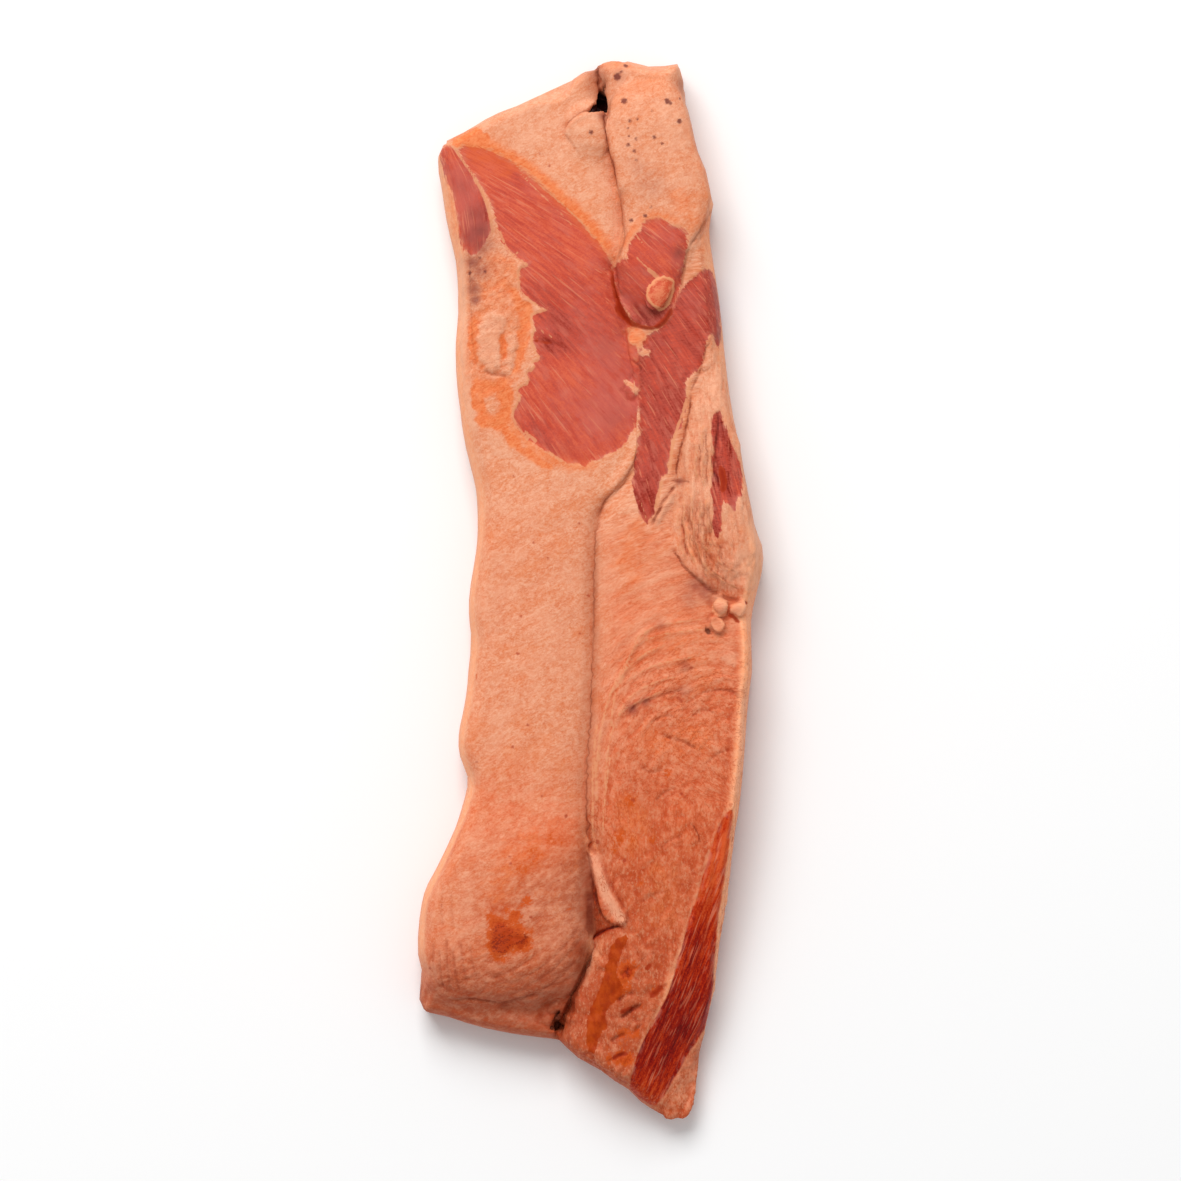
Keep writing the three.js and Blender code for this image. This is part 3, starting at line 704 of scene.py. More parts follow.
# the cut rib end in the fold
ribEnd = {
    "outline": [
        (669, 277), (674, 280), (675, 288), (673, 297), (669, 305), (662, 312), (654, 309), (648, 303),
        (645, 299), (645, 291), (649, 285), (655, 280), (662, 276),
    ],
    "ring": 1.35, "rise": 0.7, "dish": 1.5,  # mm
}
rib = patchReach(plan, roundOff(roundOff(trace(ribEnd["outline"]), closed=True), closed=True))
ribDish = ease(rib, ribEnd["ring"], ribEnd["ring"] + ribEnd["dish"])
relief += ribEnd["rise"] * ease(rib, -0.6, 0.8) * (1.0 - 0.7 * ribDish) * shown

# how crumpled the fat is, 0 to 1
crumpleSpots = [
    (500, 270, 40, 0.5), (495, 340, 40, 0.45), (490, 400, 30, 0.3), (510, 930, 40, 0.6),
    (545, 985, 40, 0.4), (455, 970, 26, 0.4), (480, 1012, 40, 0.4), (520, 860, 40, 0.25),
    (700, 520, 60, 0.3), (690, 710, 50, 0.35),
]
rough = np.where(onRight, rowSum(0.35, [(600, 690, 0.4), (740, 860, 0.25)]), 0.12)
rough = rough * (1.0 - 0.75 * bell(rightOfSeam, 9.0) * (picY < 800))
rough = np.where(onFlap > 0.0, 0.2, rough)
rough = np.clip(rough + spotSum(crumpleSpots), 0.0, 1.0)


# noise that shows no grid, from two lattices turned against each other
def evenNoise(places, seed):
    x, y, z = places.T
    turned = np.column_stack([0.6 * x - 0.8 * y, 0.8 * x + 0.6 * y, z])
    return 0.75 * (latticeNoise(places, seed) + latticeNoise(turned + 4.7, seed + 9))


# rounded bumps parted by narrow creases
def billow(places, seed):
    pushed = [latticeNoise(places * 0.8 + start, seed + more) for start, more in ((2.7, 5), (5.9, 6))]
    places = places + 0.6 * np.column_stack(pushed + [np.zeros(count)])
    broad = np.abs(evenNoise(places, seed)) + 0.5 * np.abs(evenNoise(places * 2.1 + 7.3, seed + 1))
    return broad + 0.25 * np.abs(latticeNoise(places * 4.3 + 3.1, seed + 2))


flow = np.where(onRight, ease(picY, 500, 600) * (0.25 + 0.75 * ease(picY, 860, 740)), 0.15)
flow = np.where(onFlap > 0.0, 0.35, flow)
flow = flow + (0.9 - flow) * lumpShare
crumpleEven = billow(fatGrain / (7.0, 4.6, 6.0), 31)
crumpleLong = billow(fatGrain / (16.0, 4.0, 6.0), 37)
crumpleLump = billow(lumpGrain / (14.0, 3.0, 6.0), 61)
crumple = crumpleEven + (crumpleLong - crumpleEven) * flow * 0.8 * (1.0 - lumpShare)
crumple = crumple + (crumpleLump - crumple) * lumpShare
rough = rough + (0.75 - rough) * lumpShare

# crisp right edge, soft lumps, crumpled fat, sunk lean with long ridges and a crinkled seam, all in mm
reliefSettings = {
    "lumps": 0.45, "lumpSize": 20.0, "crumple": 0.85, "leanSink": 0.5, "leanRidges": 0.2, "crispEdge": 2.4,
    "edgeFrom": 20.0, "edgeLevels": (12.0, 22.0), "edgeLift": 3.2, "seamCrinkle": 0.7, "seamReach": 2.5,
    "boardFade": (0.4, 4.0), "levelPasses": 14,
}
uprightness = np.clip(normals[:, 2], 0.0, 1.0)
slope = uprightness ** 2
rightEdge = (rightOfSeam > reliefSettings["edgeFrom"]) * ease(picY, 1060, 1010)
onEdge = rightEdge * ease(picY, 600, 650) * ease(level, *reliefSettings["edgeLevels"])
crisp = onEdge * 4.0 * slope * (1.0 - slope)
squared = onEdge * 4.0 * uprightness * (1.0 - uprightness)
inLean = ease(lean, -0.8, 1.2)
lumps = cloudNoise(np.column_stack([plan, level]) / reliefSettings["lumpSize"], 21, 2)
ridges = cloudNoise(leanGrain / (30.0, 3.2, 6.0), 51, 2) * leanStreak
deeper = 1.0 + 0.9 * lumpShare + 0.5 * ease(picY, 900, 960) * onRight
relief += reliefSettings["lumps"] * lumps + reliefSettings["crispEdge"] * crisp
relief += (1.0 - inLean) * reliefSettings["crumple"] * deeper * rough * (crumple - 0.65)
relief += inLean * (reliefSettings["leanRidges"] * ridges - reliefSettings["leanSink"]) * shown
relief *= ease(level, *reliefSettings["boardFade"])
crinkle = cloudNoise(np.column_stack([plan, level]) / (8.0, 2.2, 8.0), 71, 2)
onSeam = ease(picY, 480, 530) * ease(picY, 860, 820) * shown
onSeam = onSeam * bell(rightOfSeam, reliefSettings["seamReach"])
points = points + normals * relief[:, None]
points[:, 2] += reliefSettings["edgeLift"] * squared
points[:, 0] += reliefSettings["seamCrinkle"] * crinkle * onSeam
setPoints(points)
print("slab relief:", round(float(relief.min()), 2), "to", round(float(relief.max()), 2), "mm")

# how far each point lies below the surface round it, in mm
levelled = points
for step in range(reliefSettings["levelPasses"]):
    levelled = relaxed(levelled)
hollow = ((levelled - points) * meshNormals()).sum(axis=1)

# orange halos: course in pixels, reach in mm, strength
ambers = [
    ([(462, 141), (490, 148), (523, 165), (560, 197), (598, 236), (612, 258)], 4.8, 1.1),
    ([(466, 150), (490, 158), (516, 176)], 8.0, 0.7),
    ([(508, 410), (514, 428), (528, 444), (552, 459), (575, 467), (600, 464)], 4.4, 0.75),
    ([(508, 258), (516, 272), (519, 286)], 4.0, 0.6),
    ([(620, 252), (627, 240), (634, 229), (646, 216), (672, 219), (684, 224)], 3.2, 0.7),
    ([(648, 528), (640, 518), (628, 545), (618, 575)], 7.0, 0.55),
    ([(600, 66), (618, 61), (634, 63)], 5.0, 0.55),
    ([(686, 120), (700, 160), (712, 198)], 5.0, 0.45),
    ([(704, 212), (706, 236), (704, 256)], 4.0, 0.55),
    ([(672, 190), (688, 212), (700, 234)], 7.0, 0.6),
    ([(545, 837), (525, 850), (500, 875), (500, 905)], 14.0, 0.5),
    ([(634, 540), (624, 560), (634, 585)], 8.0, 0.5),
    ([(664, 612), (694, 660), (702, 700)], 12.0, 0.4),
    ([(640, 740), (680, 740), (715, 735)], 14.0, 0.45),
    ([(628, 790), (634, 830), (624, 860)], 10.0, 0.55),
    ([(650, 860), (668, 880), (660, 930)], 12.0, 0.45),
    ([(468, 330), (467, 370), (472, 400)], 3.0, 0.5),
    ([(447, 170), (452, 205), (457, 240)], 2.4, 0.6),
]


def haloSum(courses):
    total = np.zeros(count)
    for course, reachMm, strength in courses:
        reach, station, _ = lineReach(plan, roundOff(trace(course)))
        total = np.maximum(total, strength * tapered(station, 0.12, 0.12, -0.1) * bell(reach, reachMm))
    return total


# painted highlights along raised rims and edges: course in pixels, reach in mm, strength
rimHighlights = [
    ([(462, 245), (463, 300), (464, 350), (469, 395), (476, 440)], 2.6, 1.0),
    ([(742, 690), (738, 750), (733, 802)], 2.4, 0.9),
    ([(700, 228), (693, 240), (687, 252)], 1.8, 0.9),
    ([(577, 116), (569, 124), (567, 133)], 1.6, 0.7),
    ([(592, 850), (602, 884), (611, 902), (624, 922)], 3.6, 1.1),
    ([(596, 944), (593, 962), (587, 988)], 1.6, 0.6),
    ([(672, 492), (664, 507), (656, 521)], 1.6, 0.9),
    ([(494, 398), (492, 430), (486, 470)], 1.4, 0.5),
    ([(712, 340), (716, 360), (721, 400), (727, 420)], 1.6, 0.7),
    ([(735, 612), (728, 655)], 3.0, 0.4),
    ([(748, 515), (757, 540), (760, 565), (756, 588)], 4.0, 1.0),
    ([(715, 1000), (700, 1050), (688, 1090)], 3.0, 0.5),
]
# smoke-scorched blotches: centre in pixels, half-size in pixels, strength
scorchSpots = [
    (500, 928, 14, 0.9), (500, 946, 12, 1.05), (523, 938, 13, 1.0), (514, 910, 12, 0.5),
    (530, 897, 10, 0.5), (520, 866, 11, 0.42), (535, 853, 11, 0.45), (552, 839, 11, 0.45),
    (488, 912, 10, 0.3), (570, 905, 9, 0.3), (623, 989, 9, 0.7), (629, 971, 7, 0.5), (637, 1032, 7, 0.6),
    (620, 838, 13, 0.6), (648, 840, 10, 0.55), (630, 800, 9, 0.65), (622, 972, 12, 0.6),
    (630, 1058, 10, 0.7), (614, 1058, 10, 0.7), (622, 1032, 10, 0.6), (638, 1008, 7, 0.45),
    (632, 962, 8, 0.45), (652, 990, 8, 0.4), (610, 858, 9, 0.45), (668, 770, 9, 0.4), (640, 880, 10, 0.4),
    (473, 675, 6, 0.6), (650, 925, 10, 0.4),
]
amber = np.maximum(haloSum(ambers) * (1.0 - zonePale), zoneAmber)
palePlaces = 0.6 * lumpShare * ease(picY, 560, 520) + 0.42 * ease(picY, 300, 230) * (rightOfSeam < 0.0)
palePlaces += 0.35 * (onFlap > 0.0) * ease(picY, 215, 185)
# pale: paler fat zones and places, with painted highlights along the raised rims
pale = np.maximum.reduce([haloSum(rimHighlights) * (1.0 - np.minimum(zoneAmber, 1.0)), zonePale, palePlaces])
scorch = spotSum(scorchSpots) * shown

# smoke turns the fat orange on the strip's lobe: steps down the picture for each lobe, and spots in pixels
smokeRows = {"left": [(470, 560, 0.15), (720, 820, 0.3), (900, 1010, 0.25)],
             "right": [(560, 650, 0.2), (670, 720, 0.06), (750, 820, 0.44)]}
smokeSpots = [
    (545, 845, 24, 0.5), (520, 862, 20, 0.35), (562, 828, 16, 0.3), (500, 905, 16, 0.3),
    (700, 685, 18, 0.2), (500, 800, 26, 0.14), (458, 900, 30, -0.14),
]
# the left lobe's last step, rows 900 to 1010, is smoke orange and partly painted shade on the ball's lower
# side
smokeLeft = rowSum(0.0, smokeRows["left"]) + spotSum(smokeSpots)
fromSeam = 0.35 + 0.65 * np.maximum(ease(rightOfSeam, 0.0, 16.0), ease(picY, 830, 880))
smokeRight = rowSum(0.4, smokeRows["right"]) * ease(picY, 500, 545) * fromSeam
smoke = np.where(rightOfSeam > 0.0, smokeRight, smokeLeft)

# painted shade: browner, darker fat towards the tail, round the ball and at some places
paintedShadeRows = {"left": [(940, 1000, 1.05)], "right": [(660, 790, 0.22), (800, 890, 0.41), (920, 1000, 0.3)]}
paintedShadeSpots = [
    (556, 1020, 16, 0.8), (577, 1012, 14, 0.3), (588, 885, 9, 0.7), (589, 910, 9, 0.9),
    (540, 1004, 22, 0.3), (584, 960, 10, 0.9), (574, 985, 12, 0.4), (715, 562, 14, 0.2),
    (732, 586, 12, 0.25), (700, 685, 16, 0.2), (640, 800, 22, 0.4),
]
paintedShadeLeft = spotSum([(520, 900, 52, 0.6)]) + rowSum(0.0, paintedShadeRows["left"])
paintedShadeLeft += 1.1 * bell(rightOfSeam, 5.0) * ease(picY, 840, 890)
paintedShadeLeft += 0.95 * bell(rightOfSeam, 15.0) * ease(picY, 800, 910)
paintedShade = np.where(rightOfSeam > 0.0, rowSum(0.0, paintedShadeRows["right"]), paintedShadeLeft) + spotSum(paintedShadeSpots)

# painted light on the rims where the top turns into the walls, and the pale knob at the tail's tip
knob = spotSum([(684, 1092, 26, 1.0)])
steep = ease(normals[:, 2], -0.2, 0.2)
rimLight = (1.0 - ease(normals[:, 2], 0.5, 0.9)) * (1.0 - ease(level, 31.0, 37.0)) * steep
rimLight = rimLight * (1.0 - ease(picY, 930, 985)) * ease(picY, 140, 190)
rimLightRight = rightEdge * ease(picY, 505, 550) * (1.0 - ease(normals[:, 2], 0.8, 0.985))
rimLight = np.maximum(rimLight, rimLightRight * steep)
smoke = smoke * (1.0 - 0.65 * knob) * (1.0 - 0.5 * rimLight) * (1.0 - 0.6 * lumpShare)
paintedShade = paintedShade * (1.0 - 0.9 * knob) * (1.0 - 0.5 * rimLight) * (1.0 - 0.5 * plateCover)

# painted brown shade along the seam, in the valleys beside the tongue and the ball, and round the holes
valleySpots = [
    (590, 880, 8, 0.6), (591, 897, 9, 1.3), (590, 914, 9, 1.1), (598, 924, 7, 1.0), (595, 930, 7, 0.8),
    (587, 950, 8, 1.4), (584, 965, 8, 1.5), (545, 1010, 14, 0.5), (560, 1014, 14, 0.5), (594, 92, 8, 0.6),
    (600, 78, 7, 0.6), (588, 80, 10, 0.35), (579, 948, 8, 0.6), (574, 966, 9, 0.5), (581, 932, 7, 0.5),
]
alongSeam = ease(picY, 480, 560) * (1.0 - ease(picY, 900, 940))
seamShade = 0.96 * bell(rightOfSeam + 1.0, 3.8) * alongSeam + spotSum(valleySpots)
seamShade = seamShade * (1.0 - 0.85 * plateCover)

# purple-grey tint on old surfaces, and painted shade under the lump's lower edge at (690, 598), (696, 583)
# and (706, 590): centre in pixels, reach in mm, strength
purpleTintAndShadeSpots = [
    (480, 232, 6.0, 0.8), (476, 215, 5.0, 0.5), (470, 236, 4.5, 0.5), (474, 262, 5.0, 0.8),
    (482, 246, 6.0, 0.75), (480, 270, 6.0, 0.6), (460, 185, 6.0, 0.25), (632, 708, 3.0, 0.8),
    (645, 701, 2.6, 0.7), (661, 625, 3.0, 0.4), (685, 665, 3.0, 0.5), (684, 690, 4.0, 0.4),
    (644, 318, 6.0, 0.3), (620, 270, 4.0, 0.4), (474, 290, 3.6, 0.85), (476, 300, 3.0, 0.8),
    (473, 280, 3.0, 0.6), (679, 253, 3.5, 0.7), (596, 72, 5.0, 0.6), (602, 117, 2.4, 0.8),
    (650, 185, 9.0, 0.25), (638, 170, 6.0, 0.25), (714, 300, 5.0, 0.4), (717, 335, 3.0, 0.6),
    (679, 481, 2.0, 0.8), (690, 598, 5.0, 0.4), (706, 590, 6.0, 0.65), (612, 420, 6.0, 0.2),
    (622, 330, 5.0, 0.3), (696, 583, 5.0, 0.65), (680, 85, 4.0, 0.35), (477, 240, 6.0, 0.6),
    (619, 77, 4.0, 0.3), (565, 448, 6.0, 0.2), (607, 345, 8.0, 0.25),
]
purpleTintAndShade = np.zeros(count)
for px, py, reachMm, strength in purpleTintAndShadeSpots:
    purpleTintAndShade = np.maximum(purpleTintAndShade, strength * bell(distances(plan, px, py), reachMm))

# the amber band beside the seam at the tail
amberBand = trace([
    (631, 931), (611, 940), (607, 964), (599, 988), (587, 1016), (586, 1049), (596, 1054), (599, 1035),
    (608, 1026), (604, 1010), (623, 994), (623, 983), (615, 974), (619, 956),
])
stain = patchReach(plan, roundOff(amberBand, closed=True))

# hair pits and dark flecks: centre in pixels, radius in mm
skinPits = [
    (626, 65, 1.3), (617, 77, 1.8), (621, 72, 0.6), (624, 102, 1.5), (667, 102, 1.2), (670, 104, 0.9),
    (652, 112, 0.5), (630, 122, 0.8), (637, 120, 0.6), (679, 122, 1.2), (654, 138, 1.0), (636, 140, 0.6),
    (628, 146, 0.8), (634, 152, 0.9), (636, 161, 0.6), (662, 145, 0.6), (680, 99, 0.5), (591, 133, 1.1),
    (631, 221, 1.0), (645, 217, 1.1), (651, 208, 0.6), (628, 129, 0.5), (629, 137, 0.5), (643, 66, 0.6),
    (468, 787, 1.7), (470, 273, 1.0), (485, 272, 0.8), (480, 258, 0.7),
]
redFlecks = [
    (514, 476, 0.6), (579, 523, 0.6), (534, 542, 0.6), (548, 558, 0.6), (521, 616, 0.6), (587, 595, 0.7),
    (580, 633, 0.6), (518, 653, 0.8), (528, 724, 0.8), (513, 746, 0.8), (477, 761, 0.6), (566, 815, 0.9),
    (542, 795, 0.6), (473, 675, 1.2), (461, 737, 1.1), (681, 700, 1.0), (678, 697, 0.8), (691, 667, 0.9),
    (681, 793, 0.9), (685, 796, 0.6), (682, 883, 0.7), (633, 799, 1.0), (597, 841, 1.2), (624, 859, 1.0),
    (540, 154, 0.6), (549, 166, 0.7), (571, 200, 0.5), (510, 855, 0.7), (511, 862, 0.8), (531, 915, 0.8),
    (430, 967, 1.0), (453, 842, 0.7), (562, 863, 0.5), (442, 904, 0.5), (559, 879, 0.5),
]


def fleckReach(flecks):
    best = np.full(count, farOut)
    for px, py, radius in flecks:
        best = np.maximum(best, radius - distances(plan, px, py))
    return best - 3.0 * (1.0 - shown)  # none on the walls


# pale strands of gristle, and four short painted glints on the lean: course in pixels, half-width in mm
strandsAndHighlights = [
    ([(453, 146), (464, 163), (475, 179)], 0.4),
    # the next four short marks are painted glints on the lean, not gristle
    ([(541, 330), (544, 333)], 0.3),
    ([(549, 334), (552, 338)], 0.3),
    ([(546, 328), (548, 330)], 0.25),
    ([(536, 336), (538, 337)], 0.25),
    ([(516, 252), (519, 254)], 0.3),
    ([(475, 179), (486, 199), (490, 216), (493, 232)], 0.8),
    ([(516, 166), (538, 184), (558, 201), (577, 218), (592, 235)], 0.3),
    ([(520, 174), (545, 198), (572, 225)], 0.22),
    ([(500, 232), (507, 250), (520, 261), (530, 265), (518, 268), (519, 283), (519, 290), (527, 298),
      (540, 308), (548, 311), (532, 313), (531, 324), (535, 330), (531, 338), (534, 350), (541, 360),
      (531, 362), (535, 369), (525, 372), (530, 383), (516, 388), (521, 398), (512, 412), (514, 422),
      (528, 440)], 0.55),
    ([(526, 432), (531, 437), (536, 441)], 0.9),
    ([(548, 452), (556, 457), (562, 461)], 0.6),
    ([(636, 258), (645, 267), (652, 273)], 0.4),
    ([(648, 270), (654, 275), (660, 281)], 1.0),
    ([(636, 236), (643, 245)], 0.3),
    ([(690, 379), (688, 392), (684, 410), (676, 430), (671, 452), (670, 470)], 0.7),
    ([(661, 482), (659, 492), (656, 506)], 0.9),
    ([(636, 446), (634, 452)], 0.7),
    ([(640, 500), (648, 524)], 0.2),
]
# pale lines along the raised flow lines and lump folds, painted highlights on their ridges
strandsAndHighlights += [(course, 0.35) for course in flowLines + lumpFolds]
strandAndHighlight = np.full(count, farOut)
for course, halfWidth in strandsAndHighlights:
    strandAndHighlight = np.maximum(strandAndHighlight, halfWidth - lineReach(plan, roundOff(trace(course)))[0])

fields = {
    "lean": lean, "leanTone": leanTone, "leanPinkSheen": leanPinkSheen, "leanStreak": leanStreak,
    "leanGrain": leanGrain, "leanWarm": leanWarm, "fatGrain": fatGrain, "flow": flow, "rough": rough,
    "crumple": crumple, "seamShade": seamShade, "lumpGrain": lumpGrain, "onLump": onLump,
    "creaseGap": creaseGap, "creaseWidth": creaseWidth, "creaseDark": creaseDark,
    "paintedCreaseShade": paintedCreaseShade, "hole": hole, "holeShadow": holeShadow, "hollow": hollow, "amber": amber,
    "pale": pale, "scorch": scorch, "smoke": smoke, "purpleTintAndShade": purpleTintAndShade, "stain": stain,
    "skinPit": fleckReach(skinPits), "redFleck": fleckReach(redFlecks), "strandAndHighlight": strandAndHighlight, "rib": rib,
    "paintedShade": paintedShade, "wet": wet, "rimLight": rimLight,
}
for name, values in fields.items():
    plain = values.ndim == 1
    layer = slab.data.attributes.new(name, "FLOAT" if plain else "FLOAT_VECTOR", "POINT")
    layer.data.foreach_set("value" if plain else "vector", values.astype(np.float32).ravel())
print("slab marks kept:", len(fields))

studio = {
    "cameraHeight": 4.5, "aimLevel": 0.026, "frameWidth": 0.5905, "sensor": 36.0,
    "sky": 0.5, "key": 170.0, "keySize": 2.6, "keyPlace": (-0.9, 2.8, 3.4), "gain": 1.12, "veil": 0.003,
}

# shades of the meat as they show under the studio light
shades = {
    "fat": (232, 138, 93), "fatPale": (251, 184, 149), "speckPale": (254, 196, 160),
    "speckDeep": (226, 120, 72), "cloudPale": (250, 182, 147), "cloudDeep": (238, 138, 88),
    "vein": (222, 112, 64), "crestLight": (248, 178, 142), "valleyShade": (210, 94, 46),
    "crumbPale": (226, 152, 114), "crumbDeep": (206, 88, 42), "rimLight": (264, 168, 116),
    "rimLightPale": (264, 192, 148), "pale": (250, 184, 148), "amber": (236, 110, 52),
    "amberPale": (250, 142, 84), "wrinkle": (190, 76, 34), "rust": (200, 82, 36),
    "scorch": (214, 88, 30), "scorchDeep": (190, 62, 12), "flake": (136, 32, 8), "band": (192, 72, 14),
    "bandDeep": (170, 54, 8), "lean": (226, 104, 74), "leanRose": (208, 85, 65),
    "leanMid": (184, 77, 63), "leanDark": (156, 48, 34), "leanDeep": (118, 26, 18),
    "warm": (218, 92, 46), "warmMid": (196, 56, 18), "warmDark": (154, 26, 5), "warmDeep": (104, 10, 3),
    "leanPinkSheen": (208, 104, 92), "leanPale": (218, 118, 98), "leanRed": (196, 62, 40),
    "thread": (236, 142, 108), "dash": (206, 108, 80), "leanAmber": (232, 104, 54),
    "gristle": (236, 166, 126), "fuzz": (214, 132, 112), "strandAndHighlight": (236, 158, 114),
    "marrow": (214, 90, 60), "marrowPale": (232, 130, 92), "ribRing": (240, 158, 112),
    "purpleTintAndShade": (142, 70, 62), "pit": (116, 50, 46), "redFleck": (176, 62, 36), "wet": (176, 56, 22),
    "wetDeep": (160, 42, 10), "hole": (40, 14, 9), "rind": (212, 118, 72), "rindPale": (232, 146, 104),
    "rindFleck": (240, 165, 126), "rindVein": (180, 84, 46), "pore": (120, 58, 48),
}
# the share of each colour that smoke and the lean's grooves leave, and that painted shade leaves towards
# the tail, along the seam, in hollows, round creases and in their lines
browns = {
    "smoke": (0.94, 0.51, 0.36, 1.0), "paintedShade": (0.66, 0.6, 0.6, 1.0), "seam": (0.6, 0.42, 0.34, 1.0),
    "hollow": (0.66, 0.4, 0.28, 1.0), "groove": (0.78, 0.6, 0.56, 1.0),
    "leanHollowShade": (0.6, 0.36, 0.32, 1.0), "creaseShade": (0.66, 0.38, 0.26, 1.0),
    "line": (0.32, 0.12, 0.06, 1.0),
}


# a shade to the surface colour that shows it under the studio light
def tint(name):
    color = []
    for value in shades[name]:
        share = value / 255.0
        linear = share / 12.92 if share <= 0.04045 else ((share + 0.055) / 1.055) ** 2.4
        color.append(max(linear / studio["gain"] - studio["veil"], 0.001))
    return (*color, 1.0)


def newMaterial(name):
    material = bpy.data.materials.new(name)
    material.use_nodes = True
    material.node_tree.nodes.clear()
    return material


# a node in the tree being built, each socket fed with a value or from another node
def place(kind, feeds, **settings):
    node = tree.nodes.new(kind)
    for name, value in settings.items():
        setattr(node, name, value)
    for key, value in feeds.items():
        if isinstance(value, bpy.types.NodeSocket):
            tree.links.new(value, node.inputs[key])
        else:
            node.inputs[key].default_value = value
    return node


def calc(operation, *values):
    return place("ShaderNodeMath", dict(enumerate(values)), operation=operation).outputs[0]


def scaled(value, *factors):
    for factor in factors:
        value = calc("MULTIPLY", value, factor)
    return value


def centred(value):
    return calc("SUBTRACT", value, 0.5)


def rest(value):
    return calc("SUBTRACT", 1.0, value)


def mixed(factor, first, second):
    return place("ShaderNodeMix", {0: factor, 2: first, 3: second}).outputs[0]


def blend(factor, first, second, kind="MIX"):
    feeds = {0: factor, 6: first, 7: second}
    return place("ShaderNodeMix", feeds, data_type="RGBA", blend_type=kind).outputs[2]


# a shade, or a colour from another node, laid over a colour where all masks are up
def wash(color, over, *masks):
    return blend(scaled(*masks), color, tint(over) if isinstance(over, str) else over)


def darkened(color, name, *masks):
    return blend(scaled(*masks), color, blend(1.0, color, browns[name], "MULTIPLY"))


# 0 below low, 1 above high, smooth between
def fade(value, low, high):
    feeds = {"Value": value, "From Min": low, "From Max": high}
    return place("ShaderNodeMapRange", feeds, interpolation_type="SMOOTHSTEP").outputs[0]


def field(name, output="Fac"):
    return place("ShaderNodeAttribute", {}, attribute_name=name).outputs[output]


def stretched(vector, scale):
    return place("ShaderNodeVectorMath", {0: vector, 1: scale}, operation="MULTIPLY").outputs[0]


# scale is in turns per mm along the fibres, across them and through the slab
def noise(vector, scale, detail=2.0, roughness=0.5):
    feeds = {"Vector": stretched(vector, scale), "Scale": 1.0, "Detail": detail, "Roughness": roughness}
    return place("ShaderNodeTexNoise", feeds).outputs["Fac"]


# a kept distance whose edge is broken up by noise, span in mm
def torn(distance, vector, scale, span, detail=3.0):
    return calc("MULTIPLY_ADD", centred(noise(vector, scale, detail, 0.6)), span, distance)


# 1 on the thin lines where a noise crosses its middle
def veins(value, width):
    return rest(fade(calc("ABSOLUTE", centred(value)), 0.0, width))


# a colour from shades set along a value that runs from 0 to 1
def ramped(value, first, last, between):
    ramp = place("ShaderNodeValToRGB", {"Fac": value})
    ramp.color_ramp.elements[0].color = tint(first)
    ramp.color_ramp.elements[1].color = tint(last)
    for position, name in between.items():
        ramp.color_ramp.elements.new(position).color = tint(name)
    return ramp.outputs["Color"]


# the waxy surface each material ends in, bump depth in mm
def waxySurface(color, gloss, height, bumpStrength, bumpDepth):
    bump = place("ShaderNodeBump", {"Strength": bumpStrength, "Distance": bumpDepth * mm, "Height": height})
    looks = {"Base Color": color, "Roughness": gloss, "Normal": bump.outputs["Normal"]}
    looks["Specular IOR Level"] = 0.1
    surface = place("ShaderNodeBsdfPrincipled", looks)
    place("ShaderNodeOutputMaterial", {"Surface": surface.outputs["BSDF"]})


# fine grain of fat: pale flecks parted by thin veins, drawn into long lines where the fat flows
mottle = bpy.data.node_groups.new("waxyMottle", "ShaderNodeTree")
tree = mottle
for side, kind, names in (("INPUT", "NodeSocketVector", ["Grain"]), ("INPUT", "NodeSocketFloat", ["Flow"]),
                          ("OUTPUT", "NodeSocketFloat", ["Fleck", "Vein", "Cloud", "Height"])):
    for name in names:
        tree.interface.new_socket(name, in_out=side, socket_type=kind)
mottleIn = place("NodeGroupInput", {})
grain = mottleIn.outputs["Grain"]
flowing = mottleIn.outputs["Flow"]
drift = place("ShaderNodeTexNoise", {"Vector": stretched(grain, (0.12, 0.2, 0.2)), "Scale": 1.0})
drifted = {0: drift.outputs["Color"], 1: (5.0, 5.0, 5.0), 2: grain}
shift = place("ShaderNodeVectorMath", drifted, operation="MULTIPLY_ADD").outputs[0]
fleckShort = fade(noise(shift, (0.3, 0.55, 0.5), 2.0, 0.65), 0.38, 0.62)
fleckLong = fade(noise(shift, (0.09, 0.32, 0.3), 2.0, 0.6), 0.38, 0.62)
fleckFine = fade(noise(grain, (0.8, 1.2, 1.2), 1.0, 0.5), 0.34, 0.66)
fleckAll = mixed(0.4, mixed(scaled(flowing, 0.55), fleckShort, fleckLong), fleckFine)
veinBreaks = fade(noise(shift, (0.15, 0.22, 0.22)), 0.36, 0.62)
veinShort = scaled(veins(noise(shift, (0.3, 0.5, 0.48), 3.0, 0.65), 0.045), veinBreaks)
veinLong = scaled(veins(noise(shift, (0.03, 0.3, 0.26), 3.0, 0.6), 0.03), veinBreaks)
veinAll = calc("MAXIMUM", scaled(veinShort, rest(scaled(flowing, 0.4))), scaled(veinLong, flowing, 0.7))
place("NodeGroupOutput", {
    "Fleck": fleckAll, "Vein": veinAll, "Cloud": noise(grain, (0.06, 0.09, 0.09), 4.0, 0.6),
    "Height": calc("SUBTRACT", scaled(fleckAll, 0.2), scaled(veinAll, 0.16))})

